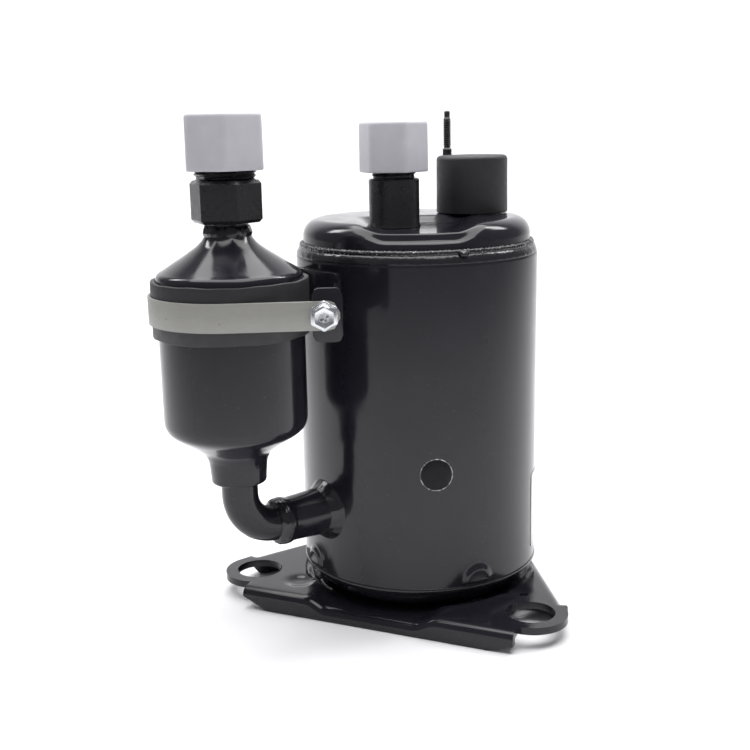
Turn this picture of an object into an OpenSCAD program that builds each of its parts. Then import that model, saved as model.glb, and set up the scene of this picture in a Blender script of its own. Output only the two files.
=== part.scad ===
// Hermetic rotary refrigeration compressor with a suction accumulator at its side.
// The origin is the centre of the three mounting holes, on the underside of the lugs.
// +Z is up and the long front edge of the base plate faces -Y. All lengths are in millimetres.

/* [Housing] */
// Outer diameter of the welded shell
shell_d = 101; // [96:1:106]
// Wall of the shell and of both end caps
shell_wall = 3; // [2.5:0.25:3.5]
// Height of the shell's lower rim
shell_z0 = 9; // [8:0.5:10]
// Height of the shell's upper rim
shell_z1 = 141; // [138:1:146]
// Height that the top cap stands above the shell's rim
cap_rise = 15; // [14:0.5:17]
// Depth of the flat pressed into the front of the top cap
shelf_drop = 3.2; // [2:0.2:4]

/* [Base plate] */
// Diameter of the circle through the mounting holes
hole_circle_d = 142.6; // [138:0.2:148]
// Diameter of each grommet hole
hole_d = 19.6; // [18:0.1:21]
// Outer radius of each lug
lug_r = 14.8; // [14:0.2:17]
// Thickness of the pressed plate
plate_t = 3; // [2.5:0.25:3.5]
// Distance from the shell's axis to the front edge
front_y = 57; // [56:0.5:60]
// Depth of the folded edges below the lugs
flange_drop = 6; // [5:0.5:8]
// Depth of the pressed middle of the plate
middle_drop = 3.5; // [3.5:0.25:4]

/* [Accumulator] */
// Direction of the accumulator seen from above, in degrees
acc_dir = -119; // [-124:1:-114]
// Distance between the shell's axis and the accumulator's axis
acc_offset = 90; // [89:0.5:94]
// Outer radius of the accumulator
acc_r = 27.6; // [25:0.2:28]
// Wall of the accumulator
acc_wall = 1.6; // [1:0.2:2]
// Height of the clamping strap's middle
strap_z = 127.8; // [122:0.2:130]
// Width of the clamping strap
strap_w = 10.5; // [9:0.5:12]

/* [Pipes and fittings] */
// Outer diameter of the suction elbow
elbow_d = 14.3; // [13:0.1:15]
// Bend radius of the elbow's centreline
elbow_bend_r = 15.5; // [15:0.5:18]
// Height of the suction stub's axis
stub_z = 38; // [37.5:0.5:38.5]
// Size across the flats of the suction fitting
suction_af = 24; // [23:0.5:25]
// Size across the flats of the suction fitting's screw cap
suction_cap_af = 28; // [27:0.5:29]
// Outer diameter of the suction fitting's thread
suction_thread_d = 23.3; // [22:0.1:24]
// Size across the flats of the discharge fitting's screw cap
discharge_cap_af = 25; // [24:0.5:26]
// Diameter of the discharge fitting's body
discharge_d = 20.4; // [20:0.2:21]
// Outer diameter of the discharge fitting's thread
discharge_thread_d = 18; // [17:0.1:19]
// Distance of the discharge fitting from the shell's axis
discharge_offset = 17.4; // [16:0.2:18]
// Direction of the discharge fitting, in degrees
discharge_dir = -98; // [-102:1:-94]

/* [Terminal] */
// Diameter of the terminal cover
cover_d = 30.2; // [29:0.2:31]
// Height of the terminal cover
cover_h = 24; // [22:0.5:26]
// Distance of the terminal from the shell's axis
terminal_offset = 26.8; // [26:0.2:28]
// Direction of the terminal, in degrees
terminal_dir = 48.7; // [46:0.1:52]
// Distance of the threaded stud from the shell's axis
stud_offset = 32.2; // [32:0.2:33]
// Direction of the threaded stud, in degrees
stud_dir = 86.3; // [86:0.1:90]

/* [Pump] */
// Radius of the pump cylinder's bore
bore_r = 21; // [20.5:0.1:21.5]
// Offset of the crank's eccentric
crank_e = 4; // [3.8:0.1:4]
// Radius of the crankshaft's journals
journal_r = 8; // [7.8:0.1:8]
// Angle from the suction port to the vane, in degrees
vane_step = 28; // [26:1:30]
// Width of the vane
vane_w = 4; // [3.6:0.1:4.2]

/* [Motor] */
// Number of stator slots
slots = 12; // [9:3:12]
// Radius of the stator's bore
stator_bore_r = 26.5; // [26.5:0.1:27]
// Air gap between the stator and the rotor
air_gap = 0.5; // [0.4:0.1:0.6]
// Height of the stator's lower face
stator_z0 = 84; // [84:1:86]
// Height of the stator's stack of laminations
stator_h = 38; // [36:1:38]

/* [Hidden] */
$fn = 96;

paint = "#1d1d20";
steel = "#9a9a98";
zinc = "#c9c9c6";
nylon = "#d6d5da";
rubber = "#232325";
copper = "#b8643a";
iron = "#6d6d6e";
brass = "#b99a4b";

shell_r = shell_d / 2;
cap_r = shell_r - shell_wall - 0.05;
crown_z = shell_z1 + cap_rise;
shelf_z = crown_z - shelf_drop;
cap_fillet = 7.5;
cap_skirt = 10;
through = 1;
running = 0.03;
free = 0.3;

lug_dirs = [-150, -30, 90];
hole_circle_r = hole_circle_d / 2;
sunk_r = 48;
middle_z = plate_t - middle_drop;
plate_opening_r = 30;
side_d = hole_circle_r / 2 + lug_r;
front_x0 = -58;
front_x1 = 61;

acc_neck_z = 158.5;
acc_collar_z = 58.7;
pad_t = 2;
pad_r = acc_r + pad_t;
pad_h = 21;
strap_t = 1;
strap_r = pad_r + 0.2;
bracket_h = 19.6;
bracket_t = 2;
slot_ear_s = 70;
slot_ear_n = 43;
ear_turn = 57;
ear_y = 30.2;
ear_w = 10.8;
arm_h = 12;
screw_y = 34.3;
screw_r = 2.5;
elbow_r = elbow_d / 2;
elbow_wall = 1.2;
stub_inner_r = elbow_r + 0.1;
stub_outer_r = 9.6;
stub_end_s = 73;
elbow_end_s = 62;

pitch = 1.5;
seal_t = 1.5;
suction_hex_z = 159;
suction_hex_h = 15.5;
suction_cap_z = 178;
suction_cap_h = 20.6;
discharge_body_z = 172.1;
discharge_cap_z = 174.7;
discharge_cap_h = 20;
cap_roof = 3.8;

terminal_r = 11;
glass_r = 2.2;
pin_r = 1.15;
pin_circle_r = 5.2;
cover_z = crown_z + 0.2;
stud_top_z = 198.7;
stud_shank_r = 2;
stud_thread_r = 1.8;

vane_dir = acc_dir + vane_step;
port_dir = vane_dir + 22;
cyl_z0 = 29;
cyl_h = 18;
cyl_r = 44;
cyl_z1 = cyl_z0 + cyl_h;
plate_h = 8;
main_z1 = cyl_z1 + plate_h;
sub_z0 = cyl_z0 - plate_h;
eccentric_r = journal_r + crank_e + 0.5;
roller_r = bore_r - crank_e - 0.05;
vane_l = 16;
vane_tail = bore_r + 0.05 + vane_l;
spring_bore_r = 3.5;
port_r = 2.5;
port_s = 18;
reed_l = 14;
bolt_circle_r = 32;
bolt_r = 2.5;
bolt_steps = [-53, 50, 100, 150, 200, 250];

stator_r = cap_r - 0.05;
stator_z1 = stator_z0 + stator_h;
slot_r0 = stator_bore_r + 3;
slot_r1 = 41;
coil_h = 11;
coil_r0 = 30;
coil_r1 = 42;
rotor_r = stator_bore_r - air_gap;
rotor_z0 = stator_z0 - 1;
rotor_z1 = stator_z1 + 1;
end_plate_t = 1;
rivet_r = 2;
rivet_circle_r = 21;
weight_h = 6;
magnet_size = [3, 23, stator_h];
magnet_s = 18.5;

module ring(r_out, r_in, h) {
    difference() {
        cylinder(r = r_out, h = h);
        translate([0, 0, -through]) cylinder(r = r_in, h = h + 2 * through);
    }
}

// A point given by its distance from the shell's axis and its direction from above.
module polar(r, a) {
    rotate([0, 0, a]) translate([r, 0, 0]) children();
}

// The accumulator's own frame: +X points away from the shell.
module at_accumulator() {
    polar(acc_offset, acc_dir) children();
}

// A solid of revolution about a radial line: +Z becomes the outward direction from s.
module radial(s, z, a = acc_dir) {
    rotate([0, 0, a]) translate([s, 0, z]) rotate([0, 90, 0]) children();
}

module hexagon(af, h) {
    cylinder(r = af / sqrt(3), h = h, $fn = 6);
}

// Outline of a deep-drawn cap in the X-Z plane, from its open rim to its centre.
module cap_outline(r, rim_z, top_z, fillet) {
    polygon([[0, rim_z], [r, rim_z], [r, top_z - fillet], [r - fillet, top_z - fillet],
        [r - fillet, top_z], [0, top_z]]);
    translate([r - fillet, top_z - fillet]) intersection() {
        circle(r = fillet);
        square(fillet);
    }
}

// The flat at the front of the top cap, open towards the rim.
module shelf_block(z, grow) {
    rotate([0, 0, acc_dir + 54]) translate([2 - grow, -20 - grow, z])
        cube([shell_d, 39 + 2 * grow, cap_rise]);
}

module shell_tube() {
    color(paint) difference() {
        translate([0, 0, shell_z0]) ring(shell_r, shell_r - shell_wall, shell_z1 - shell_z0);
        radial(shell_r - 2 * shell_wall, stub_z) cylinder(r = stub_outer_r + 0.05, h = 12);
    }
}

module top_cap() {
    inner_r = cap_r - shell_wall;
    color(paint) difference() {
        rotate_extrude() cap_outline(cap_r, shell_z1 - cap_skirt, crown_z, cap_fillet);
        shelf_block(shelf_z, 0);
        difference() {
            rotate_extrude() cap_outline(inner_r, shell_z1 - cap_skirt - through,
                crown_z - shell_wall, cap_fillet - shell_wall);
            shelf_block(shelf_z - shell_wall, shell_wall);
        }
        polar(terminal_offset, terminal_dir) translate([0, 0, shelf_z - cap_skirt])
            cylinder(r = terminal_r - 1.5, h = 2 * cap_skirt);
        polar(discharge_offset, discharge_dir) translate([0, 0, shelf_z - cap_skirt])
            cylinder(r = 6.05, h = 2 * cap_skirt);
    }
}

module bottom_cap() {
    color(paint) translate([0, 0, middle_z]) difference() {
        rotate_extrude() mirror([0, 1]) cap_outline(cap_r, -22, 0, cap_fillet);
        rotate_extrude() mirror([0, 1]) cap_outline(cap_r - shell_wall, -22 - through,
            -shell_wall, cap_fillet - shell_wall);
    }
}

module top_weld_bead() {
    color(paint) translate([0, 0, shell_z1]) rotate_extrude()
        polygon([[cap_r, 0], [shell_r - 0.2, 0], [shell_r - 0.6, 1.6], [cap_r + 1.2, 4.6],
            [cap_r, 5.2]]);
}

module bottom_weld_bead() {
    color(paint) translate([0, 0, shell_z0]) rotate_extrude()
        polygon([[cap_r, 0], [shell_r + 0.2, 0], [shell_r, -1.6], [cap_r + 0.8, -2.6],
            [cap_r, -2.8]]);
}

// Three plug welds hold the pump's main bearing in the shell.
module plug_welds() {
    color(paint) for (a = [0, 120, 240])
        radial(shell_r + 0.05, main_z1 + 3.2, acc_dir + 59 + a) cylinder(r1 = 6.3, r2 = 5, h = 0.8);
}

// Outline of the plate's sheet: three lugs, two straight back sides and the wide front.
module plate_outline() {
    lug_x = hole_circle_r * cos(30);
    for (a = lug_dirs) rotate(a) translate([hole_circle_r, 0]) circle(r = lug_r);
    for (a = [120, 240]) rotate(a) translate([-lug_x, -side_d]) square([2 * lug_x, side_d]);
    translate([front_x0, -front_y]) square([front_x1 - front_x0, front_y]);
}

// A folded edge hanging below the sheet, at distance d from the axis and facing -Y.
module folded_edge(d, x0, x1, chamfer) {
    translate([0, plate_t - d, 0]) rotate([90, 0, 0]) linear_extrude(plate_t)
        polygon([[x0, 0], [x0, -1], [x0 + chamfer, -flange_drop],
            [x1 - chamfer, -flange_drop], [x1, -flange_drop + 2], [x1, 0]]);
}

module base_plate() {
    lug_x = hole_circle_r * cos(30);
    dip_x = -21;
    dip_w = 45;
    under_z = middle_z - plate_t;
    color(paint) difference() {
        union() {
            difference() {
                linear_extrude(plate_t) plate_outline();
                translate([0, 0, middle_z]) cylinder(r = sunk_r, h = 3 * plate_t);
            }
            intersection() {
                translate([0, 0, under_z]) linear_extrude(middle_drop + plate_t) plate_outline();
                union() {
                    translate([0, 0, under_z]) ring(sunk_r, plate_opening_r, plate_t);
                    translate([0, 0, under_z])
                        ring(sunk_r + plate_t, sunk_r - 0.5, middle_drop + plate_t);
                }
            }
            translate([dip_x, -front_y, under_z]) cube([dip_w, front_y - sunk_r + 4, plate_t]);
            folded_edge(front_y, front_x0, front_x1, 9);
            for (a = [120, 240]) rotate([0, 0, a]) folded_edge(side_d, 5 - lug_x, lug_x - 5, 5);
        }
        for (a = lug_dirs) polar(hole_circle_r, a) translate([0, 0, -flange_drop - through])
            cylinder(r = hole_d / 2, h = flange_drop + plate_t + 2 * through);
        translate([dip_x, -front_y - through, middle_z]) cube([dip_w, 12, 3 * plate_t]);
        polar(57.5, -20) translate([0, 0, -plate_t]) cylinder(r = 2.2, h = 3 * plate_t);
    }
}

// Weld beads between the bottom cap and the base plate.
module base_welds() {
    color(paint) for (a = [-40, 50, 140, 230]) rotate([0, 0, a - 9])
        translate([0, 0, middle_z]) rotate_extrude(angle = 18)
            polygon([[43.8, 0.05], [47, 0.05], [45.6, 1.2]]);
}

module accumulator_profile(inset, z_low, z_high) {
    polygon([[0, z_low], [10.7 - inset, z_low], [11.4 - inset, acc_collar_z + 9],
        [13.4 - inset, acc_collar_z + 12.6], [19.1 - inset, acc_collar_z + 16.6],
        [25 - inset, acc_collar_z + 20.8], [acc_r - inset, acc_collar_z + 25.5],
        [acc_r - inset, 137.6], [25.3 - inset, 141.3], [20.1 - inset, 145.1],
        [14.4 - inset, 148.8], [9.2 - inset, 152.5], [7.8 - inset, 156],
        [7.8 - inset, z_high], [0, z_high]]);
}

module accumulator_shell() {
    color(paint) at_accumulator() difference() {
        rotate_extrude() accumulator_profile(0, acc_collar_z, acc_neck_z);
        rotate_extrude() accumulator_profile(acc_wall, acc_collar_z + 8, acc_neck_z + through);
        translate([0, 0, acc_collar_z - through]) cylinder(r = elbow_r + 0.05, h = 12);
    }
}

module accumulator_standpipe() {
    bleed_z = acc_collar_z + 24;
    color(copper) at_accumulator() difference() {
        translate([0, 0, acc_collar_z + 11]) ring(elbow_r - 1.3, elbow_r - 2.2, 58);
        translate([0, 0, bleed_z]) rotate([90, 0, 0]) cylinder(r = 0.8, h = 12);
    }
}

module accumulator_screen() {
    color(brass) at_accumulator() translate([0, 0, 134]) {
        ring(acc_r - acc_wall - 0.1, 20, 1.2);
        translate([0, 0, 1.2]) ring(21, 9, 0.8);
        for (a = [0:45:315]) rotate([0, 0, a]) translate([15, 0, 2])
            cylinder(r = 1.4, h = 0.8);
        translate([0, 0, -6]) ring(20, 18.6, 7.2);
    }
}

// The screwed ear's own frame: +X points along the screw, +Y along the strap's straight end.
module at_ear() {
    at_accumulator() rotate([0, 0, ear_turn]) children();
}

// The bracket is a cradle welded to the shell, with a slotted ear behind the accumulator
// and an arm that reaches past it to the ear that takes the screw.
module accumulator_bracket() {
    slot_z = (bracket_h - strap_w) / 2;
    color(paint) translate([0, 0, strap_z - bracket_h / 2]) difference() {
        union() {
            rotate([0, 0, acc_dir]) linear_extrude(bracket_h) {
                intersection() {
                    circle(r = shell_r + 0.1 + bracket_t);
                    polygon([[0, 0], [60, 18.6], [60, -18.6]]);
                }
                polygon([[48.35, -15.3], [50.4, -14.8], [slot_ear_s, -23.6],
                    [slot_ear_s, -slot_ear_n], [slot_ear_s - bracket_t, -slot_ear_n],
                    [slot_ear_s - bracket_t, -25]]);
            }
            at_ear() translate([strap_r - bracket_t, ear_y, 0])
                cube([bracket_t, ear_w, bracket_h]);
            at_ear() translate([-20, ear_y + ear_w - bracket_t, (bracket_h - arm_h) / 2])
                cube([20 + strap_r - 0.5, bracket_t, arm_h]);
        }
        translate([0, 0, -through]) cylinder(r = shell_r + 0.1, h = bracket_h + 2 * through);
        at_ear() translate([strap_r - 2 * bracket_t, screw_y, bracket_h / 2]) rotate([0, 90, 0])
            cylinder(r = screw_r + 0.3, h = 4 * bracket_t);
        rotate([0, 0, acc_dir]) translate([slot_ear_s - 2 * bracket_t,
            -strap_r - strap_t - free, slot_z - 0.5])
            cube([4 * bracket_t, strap_t + 2 * free, strap_w + 1]);
    }
}

module accumulator_pad() {
    color(rubber) at_accumulator() translate([0, 0, strap_z - pad_h / 2])
        difference() {
            ring(pad_r, acc_r + 0.05, pad_h);
            translate([-pad_r - through, -8, -through]) cube([12, 16, pad_h + 2 * through]);
        }
}

// The strap goes round the far side, through a slot in one ear, and is screwed to the other.
module accumulator_strap() {
    reach = acc_offset - slot_ear_s + 5;
    color(steel) translate([0, 0, strap_z - strap_w / 2]) {
        at_accumulator() {
            rotate([0, 0, -90]) rotate_extrude(angle = 90 + ear_turn) translate([strap_r, 0])
                square([strap_t, strap_w]);
            translate([-reach, -strap_r - strap_t, 0]) cube([reach, strap_t, strap_w]);
            translate([-reach, -strap_r - 4, 0]) cube([strap_t, 4, strap_w]);
        }
        at_ear() difference() {
            translate([strap_r, 0, 0]) cube([strap_t, ear_y + ear_w - 1, strap_w]);
            translate([strap_r - through, screw_y, strap_w / 2]) rotate([0, 90, 0])
                cylinder(r = screw_r + 0.3, h = 4);
        }
    }
}

module at_screw(x) {
    at_ear() translate([x, screw_y, strap_z]) rotate([0, 90, 0]) children();
}

module strap_screw() {
    color(zinc) {
        at_screw(strap_r - 8) cylinder(r = screw_r, h = 8 + strap_t);
        at_screw(strap_r + strap_t) cylinder(r = 5.6, h = 1.2);
        at_screw(strap_r + strap_t + 1.2) difference() {
            hexagon(8, 3.6);
            translate([-2.4, -0.5, 2]) cube([4.8, 1, 3]);
            translate([-0.5, -2.4, 2]) cube([1, 4.8, 3]);
        }
    }
}

module strap_nut() {
    color(zinc) at_screw(strap_r - bracket_t - 4.2) difference() {
        hexagon(8.6, 4.2);
        translate([0, 0, -through]) cylinder(r = screw_r + 0.02, h = 8);
    }
}

module suction_fitting() {
    color(paint) at_accumulator() difference() {
        union() {
            translate([0, 0, suction_hex_z]) intersection() {
                rotate([0, 0, 18]) hexagon(suction_af, suction_hex_h);
                rotate_extrude() polygon([[0, 0], [12.2, 0], [13.4, 1], [13.4, suction_hex_h - 1],
                    [12.2, suction_hex_h], [0, suction_hex_h]]);
            }
            translate([0, 0, suction_hex_z + suction_hex_h])
                cylinder(r = suction_thread_d / 2, h = suction_cap_z + suction_cap_h - cap_roof
                    - seal_t - free - suction_hex_z - suction_hex_h);
        }
        translate([0, 0, suction_hex_z - through]) cylinder(r = 6, h = 50);
    }
}

// A moulded screw cap: hexagon outside, plain bore where its thread runs.
module screw_cap(af, h, thread_d) {
    difference() {
        intersection() {
            hexagon(af, h);
            rotate_extrude() polygon([[0, 0], [af / 2 + 0.9, 0], [af / 2 + 1.7, 0.8],
                [af / 2 + 1.7, h - 1.8], [af / 2 + 0.2, h], [0, h]]);
        }
        translate([0, 0, -through]) cylinder(r = thread_d / 2 + free, h = h - cap_roof + through);
    }
}

module seal(thread_d) {
    cylinder(r = thread_d / 2 - 0.5, h = seal_t - free);
}

module suction_cap() {
    color(nylon) at_accumulator() translate([0, 0, suction_cap_z]) rotate([0, 0, 2])
        screw_cap(suction_cap_af, suction_cap_h, suction_thread_d);
}

module suction_cap_seal() {
    color(rubber) at_accumulator()
        translate([0, 0, suction_cap_z + suction_cap_h - cap_roof - seal_t]) seal(suction_thread_d);
}

module discharge_fitting() {
    top = discharge_cap_z + discharge_cap_h - cap_roof - seal_t - free;
    color(paint) polar(discharge_offset, discharge_dir) difference() {
        union() {
            translate([0, 0, shelf_z + 0.02]) cylinder(r = discharge_d / 2,
                h = discharge_body_z - shelf_z);
            translate([0, 0, discharge_body_z]) cylinder(r = discharge_thread_d / 2,
                h = top - discharge_body_z);
            translate([0, 0, shelf_z - 8]) cylinder(r = 6, h = 9);
        }
        translate([0, 0, shelf_z - 9]) cylinder(r = 4.5, h = 60);
    }
}

module discharge_cap() {
    color(nylon) polar(discharge_offset, discharge_dir) translate([0, 0, discharge_cap_z])
        rotate([0, 0, 51]) screw_cap(discharge_cap_af, discharge_cap_h, discharge_thread_d);
}

module discharge_cap_seal() {
    color(rubber) polar(discharge_offset, discharge_dir)
        translate([0, 0, discharge_cap_z + discharge_cap_h - cap_roof - seal_t])
            seal(discharge_thread_d);
}

module pipe_ring(r_out, r_in) {
    difference() {
        circle(r = r_out);
        circle(r = r_in);
    }
}

module suction_elbow() {
    inner = elbow_r - elbow_wall;
    color(paint) rotate([0, 0, acc_dir]) {
        translate([acc_offset, 0, stub_z + elbow_bend_r])
            ring(elbow_r, inner, acc_collar_z + 10 - stub_z - elbow_bend_r);
        translate([acc_offset - elbow_bend_r, 0, stub_z + elbow_bend_r]) rotate([90, 0, 0])
            rotate_extrude(angle = -90) translate([elbow_bend_r, 0]) pipe_ring(elbow_r, inner);
        translate([elbow_end_s, 0, stub_z]) rotate([0, 90, 0])
            ring(elbow_r, inner, acc_offset - elbow_bend_r - elbow_end_s);
    }
}

module elbow_braze_ring() {
    color(paint) radial(stub_end_s, stub_z) rotate_extrude()
        polygon([[elbow_r + 0.02, 0.02], [stub_outer_r, 0.02], [stub_outer_r - 0.6, 1.4],
            [elbow_r + 0.02, 2.6]]);
}

module suction_stub() {
    color(paint) radial(shell_r - 2.5, stub_z)
        ring(stub_outer_r, stub_inner_r, stub_end_s - shell_r + 2.5);
}

module stub_braze_ring() {
    color(paint) difference() {
        radial(shell_r - 4, stub_z) rotate_extrude() polygon([[stub_outer_r + 0.02, 0],
            [13, 0], [13, 3], [12, 5.4], [stub_outer_r + 0.02, 6.8]]);
        cylinder(r = shell_r + 0.02, h = 100);
    }
}

module suction_insert() {
    color(copper) radial(30, stub_z) ring(6.4, 5.4, 31);
}

module terminal_body() {
    color(steel) polar(terminal_offset, terminal_dir) difference() {
        translate([0, 0, crown_z - shell_wall - 2]) rotate_extrude() polygon([[0, 3],
            [7.5, 3], [9.3, 0], [9.4, 0], [9.4, 5.02], [terminal_r, 5.02],
            [terminal_r, 7], [8, 7], [6.8, 6], [0, 6]]);
        for (a = [0, 120, 240]) rotate([0, 0, a]) translate([pin_circle_r, 0, crown_z - 10])
            cylinder(r = glass_r - 0.5, h = 20);
    }
}

module terminal_glass() {
    color("#4f7d86") polar(terminal_offset, terminal_dir) for (a = [0, 120, 240])
        rotate([0, 0, a]) translate([pin_circle_r, 0, crown_z - 1.8])
            ring(glass_r - 0.55, pin_r + 0.02, 3.4);
}

module terminal_pins() {
    color(brass) polar(terminal_offset, terminal_dir) for (a = [0, 120, 240])
        rotate([0, 0, a]) translate([pin_circle_r, 0, crown_z - 8]) cylinder(r = pin_r, h = 22);
}

module terminal_cover() {
    r = cover_d / 2;
    color(rubber) polar(terminal_offset, terminal_dir) translate([0, 0, cover_z])
        rotate_extrude() difference() {
            union() {
                square([r, cover_h - 2]);
                square([r - 2, cover_h]);
                translate([r - 2, cover_h - 2]) circle(r = 2);
            }
            square([r - 2.2, cover_h - 2.4]);
            translate([-2, -1]) square([2, cover_h + 2]);
        }
}

module terminal_stud() {
    shoulder_z = 182.6;
    color(paint) polar(stud_offset, stud_dir) {
        translate([0, 0, crown_z + 0.02]) cylinder(r = 3.4, h = 1.2);
        translate([0, 0, crown_z + 1.22]) cylinder(r = stud_shank_r, h = shoulder_z - crown_z - 1.22);
        translate([0, 0, shoulder_z]) cylinder(r = stud_thread_r, h = stud_top_z - shoulder_z);
    }
}

module rating_label() {
    color("#e8e8e6") intersection() {
        translate([0, 0, 15]) ring(shell_r + 0.25, shell_r + 0.05, 33);
        rotate([0, 0, 11]) linear_extrude(60) polygon([[0, 0], [80, -12], [80, 46]]);
    }
}

module motor_leads() {
    color("#7a2f2a") polar(terminal_offset, terminal_dir) for (a = [0, 120, 240])
        rotate([0, 0, a]) translate([pin_circle_r, 0, stator_z1 + coil_h + 1])
            cylinder(r = 1.5, h = crown_z - 8.05 - stator_z1 - coil_h - 1);
}

// One stator slot in plan: a narrow mouth that widens outwards.
module slot_outline(gap) {
    half_angle = 180 / slots;
    inner_half = slot_r0 * tan(half_angle) - 3.2 - gap;
    outer_half = slot_r1 * tan(half_angle) - 3.2 - gap;
    polygon([[slot_r0 + gap, -inner_half], [slot_r1 - gap, -outer_half],
        [slot_r1 - gap, outer_half], [slot_r0 + gap, inner_half]]);
}

module stator_core() {
    color(iron) translate([0, 0, stator_z0]) linear_extrude(stator_h) difference() {
        circle(r = stator_r);
        circle(r = stator_bore_r);
        for (i = [0:slots - 1]) rotate(i * 360 / slots) {
            slot_outline(0);
            translate([stator_bore_r - 1, -1.1]) square([slot_r0 - stator_bore_r + 2, 2.2]);
        }
        for (i = [0:5]) rotate(i * 60 + 15) translate([stator_r - 0.8, -8]) square([4, 16]);
    }
}

module stator_windings() {
    color(copper) {
        for (z = [stator_z0 - coil_h, stator_z1]) translate([0, 0, z]) rotate_extrude()
            translate([coil_r0, 0]) union() {
                translate([2, 0]) square([coil_r1 - coil_r0 - 4, coil_h]);
                translate([0, 2]) square([coil_r1 - coil_r0, coil_h - 4]);
                for (x = [2, coil_r1 - coil_r0 - 2], y = [2, coil_h - 2]) translate([x, y])
                    circle(r = 2);
            }
        translate([0, 0, stator_z0]) linear_extrude(stator_h) for (i = [0:slots - 1])
            rotate(i * 360 / slots) intersection() {
                slot_outline(0.3);
                translate([coil_r0 + 2, -20]) square([20, 40]);
            }
    }
}

module stator_insulators() {
    color("#d8d2c0") for (z = [stator_z0 - coil_h - 0.6, stator_z1 + 0.02]) translate([0, 0, z])
        ring(44.1, coil_r1 + 0.4, coil_h + 0.58);
}

module magnet_slots(grow) {
    for (a = [0:90:270]) rotate([0, 0, a + 45])
        translate([magnet_s - magnet_size[0] / 2 - grow, -magnet_size[1] / 2 - grow,
            stator_z0 - 4 * grow])
            cube([magnet_size[0] + 2 * grow, magnet_size[1] + 2 * grow,
                magnet_size[2] + 8 * grow]);
}

module rotor_core() {
    color(iron) difference() {
        translate([0, 0, rotor_z0]) ring(rotor_r, journal_r + running, rotor_z1 - rotor_z0);
        magnet_slots(0.1);
        for (a = [0:90:270]) polar(rivet_circle_r, a) translate([0, 0, rotor_z0 - 1])
            cylinder(r = rivet_r + 0.05, h = stator_h + 4);
    }
}

module rotor_magnets() {
    color("#8b8b90") magnet_slots(0);
}

module rotor_end_plates() {
    color(brass) for (z = [rotor_z0 - end_plate_t, rotor_z1]) translate([0, 0, z]) difference() {
        ring(rotor_r - 1, journal_r + 1, end_plate_t);
        for (a = [0:90:270]) polar(rivet_circle_r, a) translate([0, 0, -1])
            cylinder(r = rivet_r + 0.05, h = 4);
    }
}

// Half rings that balance the eccentric: one above the rotor and one below it.
module half_ring(a) {
    rotate([0, 0, a]) difference() {
        ring(rotor_r - 1.4, 15, weight_h);
        translate([-30, -30, -1]) cube([30, 60, weight_h + 2]);
        for (b = [-45, 45]) polar(rivet_circle_r, b) translate([0, 0, -1])
            cylinder(r = rivet_r + 0.05, h = weight_h + 2);
    }
}

module balance_weights() {
    color(brass) {
        translate([0, 0, rotor_z1 + end_plate_t]) half_ring(45);
        translate([0, 0, rotor_z0 - end_plate_t - weight_h]) half_ring(225);
    }
}

// Each rivet holds a weight at one end and only the end plate at the other.
module rotor_rivets() {
    low = rotor_z0 - end_plate_t;
    high = rotor_z1 + end_plate_t;
    color(steel) for (i = [0:3]) polar(rivet_circle_r, i * 90) {
        up = i < 2 ? weight_h : 0;
        down = weight_h - up;
        translate([0, 0, low - down]) cylinder(r = rivet_r, h = high - low + up + down);
        translate([0, 0, high + up]) cylinder(r = 3.2, h = 1.4);
        translate([0, 0, low - down - 1.4]) cylinder(r = 3.2, h = 1.4);
    }
}

module crankshaft() {
    bottom = sub_z0 - 8;
    color(steel) difference() {
        union() {
            translate([0, 0, bottom]) cylinder(r = journal_r, h = rotor_z1 + 3 - bottom);
            polar(crank_e, vane_dir) translate([0, 0, cyl_z0 + free])
                cylinder(r = eccentric_r, h = cyl_h - 2 * free);
        }
        translate([0, 0, bottom - 1]) cylinder(r = 2.5, h = 48);
        translate([0, 0, cyl_z0 + cyl_h / 2]) rotate([0, 0, vane_dir + 180]) rotate([0, 90, 0])
            cylinder(r = 1.2, h = 20);
    }
}

module oil_paddle() {
    color(steel) translate([-2, -0.4, sub_z0 - 7.5]) cube([4, 0.8, 30]);
}

module roller() {
    color(steel) polar(crank_e, vane_dir) translate([0, 0, cyl_z0 + free])
        ring(roller_r, eccentric_r + running, cyl_h - 2 * free);
}

module vane() {
    color(steel) rotate([0, 0, vane_dir]) difference() {
        translate([bore_r + 0.05, -vane_w / 2, cyl_z0 + free])
            cube([vane_l, vane_w, cyl_h - 2 * free]);
        translate([vane_tail - 1, 0, cyl_z0 + cyl_h / 2]) rotate([0, 90, 0])
            cylinder(r = 1.5, h = 3);
    }
}

// A round wire swept along a helix about +Z, as one closed skin.
module helix(r, wire_r, rise, turns, steps, sides) {
    rings = turns * steps;
    points = [for (i = [0:rings], k = [0:sides - 1])
        let (a = i * 360 / steps, b = k * 360 / sides, q = r + wire_r * cos(b))
            [q * cos(a), q * sin(a), rise * i / rings + wire_r * sin(b)]];
    skin = [for (i = [0:rings - 1], k = [0:sides - 1])
        let (j = (k + 1) % sides)
            [i * sides + k, i * sides + j, (i + 1) * sides + j, (i + 1) * sides + k]];
    start = [for (k = [sides - 1:-1:0]) k];
    end = [for (k = [0:sides - 1]) rings * sides + k];
    polyhedron(points = points, faces = concat([start, end], skin));
}

module vane_spring() {
    color(steel) radial(vane_tail + 1.1, cyl_z0 + cyl_h / 2, vane_dir)
        helix(2.6, 0.35, 5.6, 4, 16, 6);
}

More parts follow.
